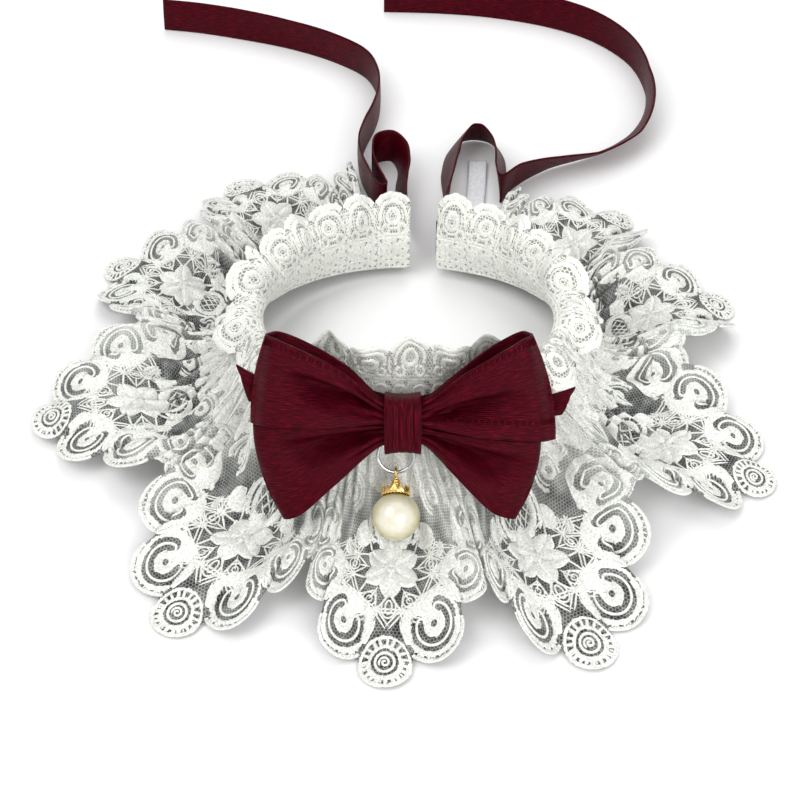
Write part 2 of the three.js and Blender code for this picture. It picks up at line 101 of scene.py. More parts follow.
REPEAT_COLUMNS = ("angle", "reach", "lift", "crest_angle", "crest_share", "crest")
REPEATS = [
    (-178, 88, 0, -164, 0.5, 6),
    (-149.5, 89, 0, -133, 0.5, 9),
    (-119, 85.5, 0, -98, 0.5, 9),
    (-78, 87, 2, -54, 0.52, 8),
    (-33, 92, 0, -17.5, 0.5, 8),
    (-3.3, 91, 0, 12, 0.38, 9),
    (24, 94, 0, 49, 0.54, 10),
    (65.8, 88, 0, 93, 0.6, 11),
    (108.4, 83.5, 0, 124, 0.5, 9),
    (138, 84, 0, 152, 0.5, 7),
    (166, 80, 0, 180, 0.5, 0),
]
REPEAT = {name: np.array(values, float) for name, values in zip(REPEAT_COLUMNS, zip(*REPEATS))}

# across, up, radius of the lobes that make the scalloped edge of one repeat
LOBES = [(0, 0, 5.6), (10.8, 7.5, 7.6), (22.5, 19, 9), (31, 31, 10.5)]

FRILL_LOBES = 28
FRILL_BELOW = 3
FRILL_LENGTH = 330
FRILL_PLAIN = 18
FRILL_SCALLOP = 3
SCALLOP_ROUNDNESS = 0.6
FRILL_WAVES = 13
FRILL_WAVE_HEIGHT = 2.4
WAVE_FOOT = 7.7
WAVE_RISE = 9
FRONT_WAVE_HEIGHT = 1
FRONT_WAVE_FROM = 0.27
FRONT_WAVE_BLEND = 0.45
FRILL_LEAN = (6, 34, 6)
FRILL_ROLL = (20, 100, 30)
ROLL_POWER = 1.6
HANG_FROM = 26
HANG_OPENING = 16
HANG_UNTIL = 76
HANG_CLOSING = 34
HANG_START = 4
HANG_STOP = 14
HANG_TURN = math.radians(140)
BAND_LOW = 1.8
BAND_HIGH = 8.6
BAND_GAP = 0.6
BAND_INSET = 0.012


def clamp(x):
    return np.clip(x, 0, 1)


def mix(a, b, share):
    return a + (b - a) * share


def smooth(x):
    x = clamp(x)
    return x * x * (3 - 2 * x)


def hill(x):
    return (1 - np.cos(TAU * x)) / 2


def unit(v):
    return v / np.maximum(np.linalg.norm(v, axis=-1, keepdims=True), 1e-12)


def spread(*values):
    """The values side by side in a new last axis, brought to one shape."""
    return np.stack(np.broadcast_arrays(*values), -1)


def round_at(turn):
    return np.stack([np.cos(turn), np.sin(turn)], -1)


def circle(count):
    """Evenly spaced turns once round, in radians."""
    return np.linspace(0, TAU, count + 1)[:-1]


def left_of(forward):
    return np.stack([-forward[..., 1], forward[..., 0]], -1)


def between(table, row, column):
    """Values of a table, or of a grid of points, between its entries."""
    row, column = (np.clip(place, 0, count - 1.001) for place, count in zip((row, column), table.shape))
    i, j = row.astype(int), column.astype(int)
    each = (..., None) if table.ndim > 2 else ...
    u, w = (row - i)[each], (column - j)[each]
    return mix(mix(table[i, j], table[i, j + 1], w), mix(table[i + 1, j], table[i + 1, j + 1], w), u)


# ---- surfaces


def seam_height(angle):
    return SEAM_MIDDLE_HEIGHT + SEAM_TILT * np.cos(np.radians(angle))


def on_ring(angle, radius, height):
    turn = np.radians(angle)
    x, y = RING[0] + radius * np.sin(turn), RING[1] - radius * np.cos(turn)
    return spread(x, y, height)


def edge_above(across):
    """Height of the scalloped edge above the rosette's middle."""
    across = np.abs(across)
    heights = np.full(np.shape(across), np.inf)
    for middle, up, radius in LOBES:
        inside = radius**2 - (across - middle) ** 2
        heights = np.minimum(heights, np.where(inside > 0, up - np.sqrt(np.maximum(inside, 0)), np.inf))
    return heights


def flounce_length(repeat):
    return ROSETTE_REACH - edge_above((repeat - np.round(repeat)) * REPEAT_PITCH)


def fold_at(repeat):
    first = np.clip(np.floor(repeat).astype(int), 0, len(REPEATS) - 2)
    share = repeat - first
    here, after = ({name: column[first + k] for name, column in REPEAT.items()} for k in (0, 1))
    rising = share < here["crest_share"]
    flank_share = np.where(rising, here["crest_share"], 1 - here["crest_share"])
    valley = np.where(rising, here["angle"], after["angle"])
    along = clamp(np.where(rising, share, 1 - share) / flank_share)
    width = np.abs(np.radians(here["crest_angle"] - valley)) * FOLD_RADIUS
    climbed = 1 - (1 - along) ** np.maximum(1, flank_share * REPEAT_PITCH / width)
    rise = hill(clamp((climbed - VALLEY_FLAT) / (1 - VALLEY_FLAT)) / 2) ** FOLD_SHARPNESS
    return {
        "angle": mix(valley, here["crest_angle"], climbed),
        "crest": here["crest"] * rise,
        "lift": mix(here["lift"], after["lift"], smooth(share)),
        "reach": mix(here["reach"], after["reach"], smooth(share)),
    }


# Drops from the seam to the floor, lengths along the strip, and the steepest slope that is reckoned
DROPS = np.linspace(4, 27, 47)
LENGTHS = np.linspace(0, 80, 321)
STEEPEST = 0.999


def landing_length(drop):
    """Length of the strip from the seam to where it lies flat."""
    return np.maximum(SHORTEST_LANDING, LANDING_PER_DROP * drop)


def landing_slope(drop, left):
    """Fall for each step along the strip, where left is the share of the landing still to come."""
    return drop / landing_length(drop) * LANDING_POWER * left ** (LANDING_POWER - 1)


def level_share(slope):
    return np.sqrt(1 - np.minimum(slope, STEEPEST) ** 2)


def reach_table():
    """Distance out from the seam that the strip has reached, for each drop and length along it."""
    step = LENGTHS[1]
    middles = LENGTHS[:-1] + step / 2
    drops = DROPS[:, None]
    left = clamp(1 - middles[None] / landing_length(drops))
    steps = step * level_share(landing_slope(drops, left))
    return np.concatenate([np.zeros((len(DROPS), 1)), np.cumsum(steps, 1)], 1)


REACHED = reach_table()


def reached(drop, length):
    return between(REACHED, (drop - DROPS[0]) / (DROPS[1] - DROPS[0]), length / LENGTHS[1])


GATHERS_PER_REPEAT = 10
GATHER_HEIGHT = 1.6
GATHER_DRIFT = 0.045
GATHER_SWELL = 0.3
GATHER_FADE = (10, 38)
FRONT_CALM = 0.45
RIPPLE_HEIGHT = 0.35
DOME = 3.4
DOME_FROM = 27
DOME_EDGE = 15


def flounce_point(repeat, v):
    """A point of the wide lace: repeat counts along the strip, v is the distance from the seam."""
    repeat, v = np.broadcast_arrays(np.asarray(repeat, float), np.asarray(v, float))
    gathered = SEAM_START + SEAM_SWEEP * (repeat - STRIP_START) / (STRIP_END - STRIP_START)
    fold = fold_at(repeat)
    angle = mix(gathered, fold["angle"], smooth(v / GATHER_BLEND))
    frontal = smooth(1 - np.abs(angle) / FRONT_SPREAD)
    drop = seam_height(gathered) - LACE_WALL / 2
    left = clamp(1 - v / landing_length(drop))
    slope = landing_slope(drop, left)
    full = reached(drop, np.full_like(v, ROSETTE_REACH)) + LACE_WALL / 2
    reach_share = (fold["reach"] - SEAM_RADIUS) / full
    ramp = smooth(v / mix(FOLD_RISE, FRONT_FOLD_RISE, frontal))
    puckered = np.sin(math.pi * clamp(v / PUCKER_LENGTH)) ** 2
    pucker = -PUCKER_HEIGHT * np.cos(TAU * PUCKERS_PER_REPEAT * repeat) * puckered
    uneven = repeat + GATHER_DRIFT * np.sin(TAU * 1.7 * repeat)
    fullness = 1 + GATHER_SWELL * np.sin(TAU * 2.3 * repeat + 1)
    fullness = fullness * (1 - FRONT_CALM * frontal)
    gather = GATHER_HEIGHT * fullness * np.sin(TAU * GATHERS_PER_REPEAT * uneven)
    gather = gather * smooth(v / 4) * (1 - smooth((v - GATHER_FADE[0]) / GATHER_FADE[1]))
    ripple = RIPPLE_HEIGHT * np.sin(TAU * 4.3 * repeat + 0.16 * v) * smooth((v - 14) / 14)
    rise = fold["crest"] * ramp + pucker + gather + ripple
    out = mix(1, reach_share, smooth(v / GATHER_BLEND))
    radius = SEAM_RADIUS + (reached(drop, v) + LACE_WALL / 2) * out + rise * slope
    height = LACE_WALL / 2 + drop * left**LANDING_POWER
    height = height + rise * level_share(slope) + fold["lift"] * ramp
    dome = DOME * smooth((flounce_length(repeat) - v) / DOME_EDGE) * smooth((v - DOME_FROM) / 14)
    return on_ring(angle, radius, np.maximum(LACE_WALL / 2, height) + dome)


W_STEPS = np.linspace(-FRILL_BELOW, 30, 133)


def frill_profile(angle, w):
    """Radius, height and turn of the frill at an angle round the neck, w up from the seam."""
    turn_angle = np.radians(angle)
    sideways = np.sin(turn_angle) ** 2
    backwards = smooth(-np.cos(turn_angle))
    lean, roll = (np.radians(a + b * sideways + c * backwards) for a, b, c in (FRILL_LEAN, FRILL_ROLL))
    away = np.abs(angle)
    hang = smooth((away - HANG_FROM) / HANG_OPENING) * (1 - smooth((away - HANG_UNTIL) / HANG_CLOSING))
    roll = mix(roll, lean + HANG_TURN, hang)
    start, stop = HANG_START * hang, mix(FRILL_PLAIN, HANG_STOP, hang)
    power = mix(ROLL_POWER, 1, hang)

    def turn_at(u):
        return roll * clamp((u - start) / (stop - start)) ** power - lean

    step = W_STEPS[1] - W_STEPS[0]
    radius = np.zeros_like(w)
    height = np.zeros_like(w)
    for middle in W_STEPS[:-1] + step / 2:
        part = np.clip(w - (middle - step / 2), 0, step)
        turn = turn_at(middle)
        radius += part * np.sin(turn)
        height += part * np.cos(turn)
    radius += SEAM_RADIUS - SEAM_GAP - FRILL_WALL / 2
    height += seam_height(angle) - FRILL_BELOW
    return radius, height, turn_at(w)


FINE_RUFFLE = 0.35
BROAD_RUFFLE = 0.7


def frill_point(along, w, proud=0.0):
    """A point of the frill: along is the share of the seam, w up from the seam, proud off its outside."""
    along, w, proud = np.broadcast_arrays(np.asarray(along, float), np.asarray(w, float), proud)
    angle = SEAM_START + SEAM_SWEEP * along
    radius, height, turn = frill_profile(angle, w)
    frontal = smooth((np.cos(np.radians(angle)) - FRONT_WAVE_FROM) / FRONT_WAVE_BLEND)
    wave_height = mix(FRILL_WAVE_HEIGHT, FRONT_WAVE_HEIGHT, frontal)
    wave = wave_height * np.sin(TAU * FRILL_WAVES * along) * smooth((w - WAVE_FOOT) / WAVE_RISE)
    uneven = np.sin(TAU * 19 * along + 2.2 * np.sin(TAU * 5 * along))
    fine = FINE_RUFFLE * np.sin(TAU * 41 * along + 0.2 * w)
    small = (fine + BROAD_RUFFLE * uneven) * smooth((w - BAND_HIGH) / 8)
    out = wave + small + proud
    return on_ring(angle, radius + out * np.cos(turn), height - out * np.sin(turn))


def frill_scallop(swing):
    """Height of the frill's edge, where swing goes from 0 between two lobes to 1 on a lobe."""
    return FRILL_PLAIN + FRILL_SCALLOP * np.abs(swing) ** SCALLOP_ROUNDNESS


def frill_top(along):
    return frill_scallop(np.sin(math.pi * FRILL_LOBES * along))


# ---- bow and pendant places

BOW_LEAN = math.radians(25)
BOW_MIDDLE = np.array([0.6, -41.6, 32])
RIGHT = np.array([1.0, 0, 0])
BOW_UP = np.array([0, math.sin(BOW_LEAN), math.cos(BOW_LEAN)])
BOW_OUT = np.array([0, -math.cos(BOW_LEAN), math.sin(BOW_LEAN)])


def on_axes(point, axes, places):
    """A point moved by places along its axes."""
    for axis, place in zip(axes, places):
        point = point + np.asarray(place, float)[..., None] * axis
    return point


def on_bow(x, up, out):
    return on_axes(BOW_MIDDLE, (RIGHT, BOW_UP, BOW_OUT), (x, up, out))


KNOT_UP = 6.2
KNOT_OUT = 3.2
KNOT_HALF_WIDTH = 3.9
KNOT_WAIST = 0.92
KNOT_PLEAT = 0.16
KNOT_SQUARENESS = 0.45
WIRE_RADIUS = 0.4
RING_RADIUS = 4
RING_OUT = -(KNOT_OUT + RIBBON_WALL / 2 + SEAM_GAP + WIRE_RADIUS)
RING_UP = -8.9
RING_ACROSS = -1.5
EYE_RADIUS = 1.2
EYE_WIRE = 0.3
EYE_SEAT = 0.2
BEAD_RADIUS = 5.3
BEAD_FLAT = 0.012
BEAD_DROP = 10
PENDANT_LEAN = math.radians(58)
RING_FOOT = on_bow(RING_ACROSS, RING_UP - RING_RADIUS, RING_OUT)
PENDANT_DOWN = np.array([0, -math.sin(PENDANT_LEAN), -math.cos(PENDANT_LEAN)])
PENDANT_FRONT = np.array([0, -math.cos(PENDANT_LEAN), math.sin(PENDANT_LEAN)])
BEAD_MIDDLE = RING_FOOT + BEAD_DROP * PENDANT_DOWN

# The solids' origin is under the middle of the footprint, so everything here is shifted to it
low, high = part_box("pearl")
SHIFT = np.array((low + high) / 2) / MM - BEAD_MIDDLE

# ---- camera and light

VIEW_ELEVATION = math.radians(43)
VIEW_DISTANCE = 450
VIEW_ANGLE = math.radians(24.47)


def look_at(thing, place, target):
    thing.location = Vector(place) * MM
    thing.rotation_euler = (Vector(target) - Vector(place)).to_track_quat("-Z", "Y").to_euler()


def make_camera():
    camera = bpy.data.objects.new("camera", bpy.data.cameras.new("camera"))
    camera.data.angle = VIEW_ANGLE
    camera.data.clip_start, camera.data.clip_end = 0.01, 20
    bpy.context.scene.collection.objects.link(camera)
    target = Vector(SHIFT)
    back = Vector((0, -math.cos(VIEW_ELEVATION), math.sin(VIEW_ELEVATION)))
    look_at(camera, target + back * VIEW_DISTANCE, target)
    bpy.context.scene.camera = camera


def make_light(name, place, size, power):
    lamp = bpy.data.lights.new(name, "AREA")
    lamp.shape = "DISK"
    lamp.size = size * MM
    lamp.energy = power
    light = bpy.data.objects.new(name, lamp)
    bpy.context.scene.collection.objects.link(light)
    look_at(light, Vector(place) + Vector(SHIFT), Vector(SHIFT))


make_camera()

# ---- mesh making


def add_piece(name, vertices, faces, material, slot, body="collar", uv=None, stands_for=None):
    """A smooth mesh from millimetre points and quads. It rides on a body and may stand for a solid."""
    vertices = (np.asarray(vertices, float).reshape(-1, 3) + SHIFT) * MM
    faces = np.asarray(faces, np.int32).reshape(-1, 4)
    mesh = bpy.data.meshes.new(name)
    mesh.vertices.add(len(vertices))
    mesh.vertices.foreach_set("co", vertices.astype(np.float32).ravel())
    mesh.loops.add(faces.size)
    mesh.loops.foreach_set("vertex_index", faces.ravel())
    mesh.polygons.add(len(faces))
    mesh.polygons.foreach_set("loop_start", np.arange(0, faces.size, 4, dtype=np.int32))
    mesh.polygons.foreach_set("use_smooth", np.ones(len(faces), bool))
    mesh.update(calc_edges=True)
    if uv is not None:
        layer = mesh.uv_layers.new(name="flat")
        layer.data.foreach_set("uv", np.asarray(uv, np.float32).reshape(-1, 2)[faces.ravel()].ravel())
    mesh.validate()
    mesh.materials.append(material)
    piece = bpy.data.objects.new(name, mesh)
    bpy.context.scene.collection.objects.link(piece)
    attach(piece, body)
    if stands_for:
        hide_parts(stands_for)
    return piece


def grid_faces(rows, columns, around=False):
    """Quads of a grid of rows by columns points; around joins the last row to the first."""
    i = np.arange(rows if around else rows - 1)[:, None]
    j = np.arange(columns - 1)[None]
    after = (i + 1) % rows
    corners = [i * columns + j, after * columns + j, after * columns + j + 1, i * columns + j + 1]
    return np.stack(corners, -1).reshape(-1, 4)


def grid_normals(grid, around=False):
    along = np.roll(grid, -1, 0) - np.roll(grid, 1, 0)
    if not around:
        along[0], along[-1] = grid[1] - grid[0], grid[-1] - grid[-2]
    across = np.gradient(grid, axis=1)
    return unit(np.cross(along, across))


def wall(grid, thickness, around=False):
    """Points and quads of a closed wall about a grid of points."""
    rows, columns = grid.shape[:2]
    count = rows * columns
    offset = grid_normals(grid, around) * thickness / 2
    points = np.concatenate([(grid + offset).reshape(-1, 3), (grid - offset).reshape(-1, 3)])
    front = grid_faces(rows, columns, around)
    end = columns - 1
    rim = []
    for i in range(rows if around else rows - 1):
        a, b = i * columns, ((i + 1) % rows) * columns
        rim.append((a, a + count, b + count, b))
        rim.append((a + end, b + end, b + end + count, a + end + count))
    for j in range(0 if around else end):
        k = (rows - 1) * columns + j
        rim.append((j, j + 1, j + 1 + count, j + count))
        rim.append((k, k + count, k + 1 + count, k + 1))
    return points, np.concatenate([front, front[:, ::-1] + count, np.array(rim)])


# ---- materials


def color(values):
    """An sRGB colour, 0 to 255, as linear numbers with full alpha."""
    shares = [value / 255 for value in values]
    return (*(s / 12.92 if s <= 0.04045 else ((s + 0.055) / 1.055) ** 2.4 for s in shares), 1)


class Nodes:
    """Builds a material's node tree with short calls. Colours are sRGB, 0 to 255."""

    def __init__(self, name, **values):
        self.material = bpy.data.materials.new(name)
        self.material.use_nodes = True
        self.tree = self.material.node_tree
        self.shader = self.tree.nodes["Principled BSDF"]
        self.set(**values)

    def set(self, **values):
        self.feed(self.shader, {name.replace("_", " "): value for name, value in values.items()})
        return self

    def feed(self, node, values):
        for socket, value in values.items():
            if isinstance(value, bpy.types.NodeSocket):
                self.tree.links.new(value, node.inputs[socket])
            else:
                node.inputs[socket].default_value = value

    def add(self, kind, values=(), output=0, **settings):
        """A node's output: values go to its sockets by number or name, settings to the node."""
        node = self.tree.nodes.new("ShaderNode" + kind)
        for name, value in settings.items():
            setattr(node, name, value)
        self.feed(node, dict(values))
        return node.outputs[output]

    def math(self, operation, *values, clamped=False):
        return self.add("Math", enumerate(values), operation=operation, use_clamp=clamped)

    def vector(self, operation, *values, output="Vector"):
        return self.add("VectorMath", enumerate(values), output, operation=operation)

    def flat(self, scale=(1, 1, 1)):
        return self.vector("MULTIPLY", self.add("UVMap", uv_map="flat"), scale)

    def place(self):
        return self.add("TexCoord", output="Object")

    def part(self, vector, axis):
        return self.add("SeparateXYZ", {0: vector}, axis)

    def noise(self, vector, scale, detail=2, roughness=0.5):
        values = {"Vector": vector, "Scale": scale, "Detail": detail, "Roughness": roughness}
        return self.add("TexNoise", values, "Fac")

    def step(self, *values):
        """A value eased between two bounds, to 0 and 1 or to two more values."""
        values = values if len(values) > 3 else (*values, 0, 1)
        return self.add("MapRange", enumerate(values), interpolation_type="SMOOTHSTEP")

    def ramp(self, value, *stops):
        output = self.add("ValToRGB", {0: value})
        elements = output.node.color_ramp.elements
        while len(elements) < len(stops):
            elements.new(0.5)
        for element, (place, tone) in zip(elements, stops):
            element.position = place
            element.color = color(tone)
        return output

    def mix(self, share, *tones):
        first, second = (tone if isinstance(tone, bpy.types.NodeSocket) else color(tone) for tone in tones)
        return self.add("Mix", {0: share, 6: first, 7: second}, 2, data_type="RGBA")

    def bump(self, height, strength, distance):
        normal = self.add("Bump", {"Height": height, "Strength": strength, "Distance": distance})
        return self.set(Normal=normal).material


WEAVE_PITCH = 0.45
HALF_CELL = (0.5, math.sqrt(3) / 2, 0.5)


def satin_material():
    n = Nodes("satin", Roughness=0.44, Specular_Tint=color((255, 150, 165)), Specular_IOR_Level=0.15)
    threads = n.noise(n.flat((0.35, 5, 1)), 1, 3, 0.6)
    sheen_streak_noise = n.noise(n.flat((0.5, 2.4, 1)), 1, 2, 0.7)
    cloth = n.noise(n.flat((0.12, 0.12, 1)), 1, 2)
    base = n.ramp(threads, (0.32, (26, 0, 4)), (0.54, (64, 1, 13)), (0.74, (114, 12, 33)))
    # painted sheen: lighter streaks along the ribbon, from stretched noise, are mixed into its colour
    light = n.step(sheen_streak_noise, 0.62, 0.8)
    base = n.mix(n.math("MULTIPLY", light, 0.35), base, (136, 34, 52))
    n.set(Base_Color=n.mix(n.step(cloth, 0.35, 0.75, 0, 0.3), base, (44, 0, 11)))
    weave = n.math("SINE", n.math("MULTIPLY", n.part(n.flat(), 1), TAU / WEAVE_PITCH))
    relief = n.math("ADD", n.math("MULTIPLY", weave, 0.25), threads)
    return n.bump(relief, 0.35, 0.0003)


def hex_distance(n, uv, pitch):
    """Distance from the middle of a hexagonal cell: 0 in its middle, 0.5 on its edges."""
    cell = (1, math.sqrt(3), 1)
    scaled = n.vector("MULTIPLY", uv, (1 / pitch, 1 / pitch, 0))
    near = []
    for shift in ((0, 0, 0), HALF_CELL):
        moved = n.vector("SUBTRACT", scaled, shift)
        cells = n.vector("FLOOR", n.vector("DIVIDE", moved, cell))
        wrapped = n.vector("SUBTRACT", moved, n.vector("MULTIPLY", cells, cell))
        middle = n.vector("ABSOLUTE", n.vector("SUBTRACT", wrapped, HALF_CELL))
        middle = n.vector("MULTIPLY", middle, (1, 1, 0))
        slanted = n.vector("DOT_PRODUCT", middle, (0.5, math.sqrt(3) / 2, 0), output="Value")
        near.append(n.math("MAXIMUM", slanted, n.part(middle, 0)))
    return n.math("MINIMUM", *near)


def net_material(name, pitch, threads, hole_shades, see_through, painted_light_heights=None):
    """Hexagonal net. The thread and hole colours each have a plain value and a second one for mottled places
    and, where heights are given, for places that stand higher off the floor; that is painted light, lighter
    higher up and painted shade low down. The hole colours stand for the dark seen through the net, so they
    are painted shade as well.
    """
    n = Nodes(name, Roughness=0.85, Sheen_Weight=0.05, Specular_IOR_Level=0.15)
    uv = n.flat()
    thread_width = n.step(n.noise(uv, 0.5, 2), 0.3, 0.7, 0.07, 0.12)
    edge = n.math("SUBTRACT", 0.5, hex_distance(n, uv, pitch))
    hole = n.step(n.math("SUBTRACT", edge, thread_width), -0.03, 0.05)
    shade = n.step(n.noise(uv, 0.23, 3), 0.35, 0.7, 0, 0.25)
    # painted light: where heights are given, the net is painted lighter the higher it stands off the floor
    # and darker low down
    if painted_light_heights:
        height = n.math("MULTIPLY", n.part(n.place(), 2), 1 / MM)
        shade = n.math("ADD", n.step(height, *painted_light_heights), shade, clamped=True)
    # the hole colours are painted shade, for the dark seen through the net
    n.set(Base_Color=n.mix(hole, n.mix(shade, *threads), n.mix(shade, *hole_shades)))
    n.set(Alpha=n.math("SUBTRACT", 1, n.math("MULTIPLY", hole, see_through)))
    n.material.blend_method = "BLEND"
    return n.bump(n.math("SUBTRACT", 1, hole), 0.3, 0.0002)


def thread_material(name, bright, dim):
    """White embroidery thread, wound close, with a soft lustre."""
    n = Nodes(name, Roughness=0.6, Sheen_Weight=0.15, Sheen_Roughness=0.5, Specular_IOR_Level=0.3)
    fuzz = n.noise(n.place(), 2100, 3, 0.65)
    cloth = n.noise(n.place(), 160, 2)
    n.set(Base_Color=n.mix(n.step(cloth, 0.4, 0.8, 0, 0.3), n.ramp(fuzz, (0.3, dim), (0.62, bright)), dim))
    return n.bump(fuzz, 0.3, 0.00012)


def plain_material(name, base, spots, scale, depth=0.0, **settings):
    n = Nodes(name, **settings)
    marks = n.noise(n.place(), scale, 3, 0.6)
    n.set(Base_Color=n.ramp(marks, (0.3, base), (0.75, spots)))
    return n.bump(marks, 0.3, depth) if depth else n.material


def pearl_material():
    """Nacre: white in the middle and painted darker yellow-green towards the rim by the angle it is seen at,
    a painted sheen and shade, under a clear gloss.
    """
    n = Nodes("pearl", Roughness=0.24, Coat_Weight=1, Coat_Roughness=0.05)
    mottled = n.noise(n.place(), 420, 3, 0.6)
    nacre = n.ramp(mottled, (0.3, (214, 208, 188)), (0.7, (226, 222, 206)))
    rim = n.ramp(mottled, (0.3, (190, 180, 128)), (0.7, (206, 198, 150)))
    # painted sheen and shade: the colour turns darker yellow-green as the surface faces away from the view
    facing = n.step(n.add("LayerWeight", output="Facing"), 0.12, 0.75)
    return n.set(Base_Color=n.mix(facing, nacre, rim)).material


SATIN = satin_material()
# The outer net's threads and holes are painted grey and near black where the net lies low, and much lighter
# where it stands higher. This is painted shade and painted light by height, and the hole colours stand for
# the dark seen through the net.
OUTER_THREADS_PAINTED_SHADE_AND_LIGHT = ((120, 122, 120), (248, 249, 244))
OUTER_HOLES_PAINTED_SHADE_AND_LIGHT = ((20, 22, 23), (206, 208, 203))
OUTER_NET = net_material("outer_net", 0.82, OUTER_THREADS_PAINTED_SHADE_AND_LIGHT, OUTER_HOLES_PAINTED_SHADE_AND_LIGHT, 0.12, (4, 19))
FRILL_THREADS = ((236, 237, 230), (226, 227, 220))
# painted shade: the frill's hole colours are grey for the shade and the layers seen through the net
FRILL_HOLES_PAINTED_SHADE = ((150, 152, 146), (112, 114, 110))
FRILL_NET = net_material("frill_net", 0.9, FRILL_THREADS, FRILL_HOLES_PAINTED_SHADE, 0.06)
THREAD = thread_material("white_thread", (249, 250, 245), (194, 195, 190))
FRILL_THREAD = thread_material("frill_thread", (252, 253, 246), (214, 215, 208))
WHITE_SATIN = plain_material("white_satin", (238, 238, 240), (214, 216, 222), 900, 0.0002, Roughness=0.4)
SILVER = plain_material("silver", (225, 226, 228), (190, 192, 196), 3000, Metallic=1.0, Roughness=0.16)
GOLD = plain_material("gold", (252, 224, 150), (226, 178, 92), 1400, 0.0001, Metallic=1.0, Roughness=0.24)
PEARL = pearl_material()


def add_cloth(name, grid, thickness, flat, stands_for=None, around=False, material=SATIN, slot="satin"):
    """A closed wall of woven cloth about a grid of points. flat holds both its distances along the cloth."""
    uv = spread(*flat).reshape(-1, 2)
    uv = np.concatenate([uv, uv])
    return add_piece(name, *wall(grid, thickness, around), material, slot, uv=uv, stands_for=stands_for)


# ---- ribbon ties, the free cords

TIE_WIDTH = 10
TIE_STEPS = 320
TIE_CLEARANCE = 0.05
TIE_THICKNESS = 0.5
TIE_BOWED = 0.35
# x, y, height off the floor, tilt from standing on edge
TIE_ROUTES = {
    "tie_left": [
        (2.3, 54.2, 5.2, 0), (1.9, 62, 2.6, 0), (1, 71, 0.5, 8), (0.3, 78.5, 0, 20), (0.9, 87, 0, 22),
        (0.6, 94.6, 0, 14), (-2.4, 99.6, 0, 4), (-6.4, 98.4, 0, 0), (-7.6, 92, 0, 0), (-6.2, 84, 0, 0),
        (-4.2, 77.4, 0.4, 0), (-3.6, 73.2, 1.6, 0), (-4.8, 71.4, 2.4, 0), (-6.6, 73.6, 2.2, 0),
        (-8.4, 80, 1.4, 0), (-10.6, 88.5, 0.8, 0), (-11.4, 97, 0.2, 0), (-10, 105.5, 0, 0),
        (-7.6, 114, 0, 0), (-6.2, 122.5, 0, 0), (-6.4, 131, 0, 0), (-10, 141.5, 0, 0), (-20, 150.5, 0, 0),
        (-34, 158, 0, 0), (-50, 164, 0, 6), (-62, 167.4, 0, 6), (-73, 169.4, 0, 6),
    ],
    "tie_right": [
        (9.6, 51.4, 4.95, 0), (11.2, 61, 2.4, 0), (12.6, 71, 0.4, 0), (13.4, 81, 0, 14), (14, 91, 0, 28),
        (16, 101, 0, 32), (19.6, 106.6, 0, 30), (24, 106.2, 0, 28), (27.2, 100, 0, 24), (28, 92.5, 0, 18),
        (27.2, 84, 0, 10), (27.6, 79.4, 0, 4), (32.5, 85.5, 0, 16), (43, 92.5, 0, 38), (55, 97.6, 0, 50),
        (65.4, 105.4, 0, 44), (71.4, 117, 0, 20), (73, 132, 0, 0), (69.6, 148.5, 0, 0), (60, 162, 0, 6),
        (47, 170.6, 0, 10), (29, 176.4, 0, 10), (12, 179, 0, 10), (-5, 180, 0, 10),
    ],
}


def curve_through(points, shares):
    """Centripetal Catmull-Rom curve through points, at shares of its run of points."""
    points = np.asarray(points, float)
    padded = np.vstack([2 * points[0] - points[1], points, 2 * points[-1] - points[-2]])
    place = shares * (len(points) - 1)
    first = np.minimum(place.astype(int), len(points) - 2)
    t = (place - first)[:, None]
    p0, p1, p2, p3 = (padded[first + i] for i in range(4))
    d0, d1, d2 = (np.sqrt(np.linalg.norm(b - a, axis=1))[:, None] for a, b in ((p0, p1), (p1, p2), (p2, p3)))
    m1 = ((p1 - p0) / d0 - (p2 - p0) / (d0 + d1) + (p2 - p1) / d1) * d1
    m2 = ((p2 - p1) / d1 - (p3 - p1) / (d1 + d2) + (p3 - p2) / d2) * d1
    return p1 + t * (m1 + t * (-3 * p1 + 3 * p2 - 2 * m1 - m2 + t * (2 * p1 - 2 * p2 + m1 + m2)))


def along_lengths(points):
    steps = np.linalg.norm(np.diff(points, axis=0), axis=1)
    return np.concatenate([[0], np.cumsum(steps)])


def declare_cord(piece, middle):
    """Works out the middle path, at every fourth point, and the length of a free ribbon with a cut end, and
    keeps neither. middle is its middle line, from the seam out.
    """
    path = (middle[::4] + SHIFT) * MM
    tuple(path[0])
    float(along_lengths(middle)[-1]) * MM


def make_tie(name, route):
    route = np.array(route, float)
    shares = np.linspace(0, 1, TIE_STEPS + 1)
    middle = curve_through(route[:, :3], shares)
    tilt = np.radians(np.interp(shares * (len(route) - 1), np.arange(len(route)), route[:, 3]))
    tangent = unit(np.gradient(middle, axis=0) * [1, 1, 0])
    up = np.array([0, 0, 1.0])
    side = np.cross(tangent, up)
    widthways = up * np.cos(tilt)[:, None] + side * np.sin(tilt)[:, None]
    resting = (TIE_WIDTH * np.cos(tilt) + RIBBON_WALL * np.abs(np.sin(tilt))) / 2 + TIE_CLEARANCE
    middle[:, 2] = resting + np.maximum(0, middle[:, 2])
    across = np.linspace(-0.5, 0.5, 13)
    facing = unit(np.cross(tangent, widthways))
    length = along_lengths(middle)
    bowed = TIE_BOWED * np.sin(length / 9)[:, None] * (1 - (2 * across) ** 2)
    grid = middle[:, None] + across[None, :, None] * TIE_WIDTH * widthways[:, None]
    grid = grid + bowed[..., None] * facing[:, None]
    flat = (length[:, None], (across[None] + 0.5) * TIE_WIDTH)
    declare_cord(add_cloth(name + "_ribbon", grid, TIE_THICKNESS, flat, name), middle)


for tie in TIE_ROUTES.items():
    make_tie(*tie)

# ---- the two lace sheets


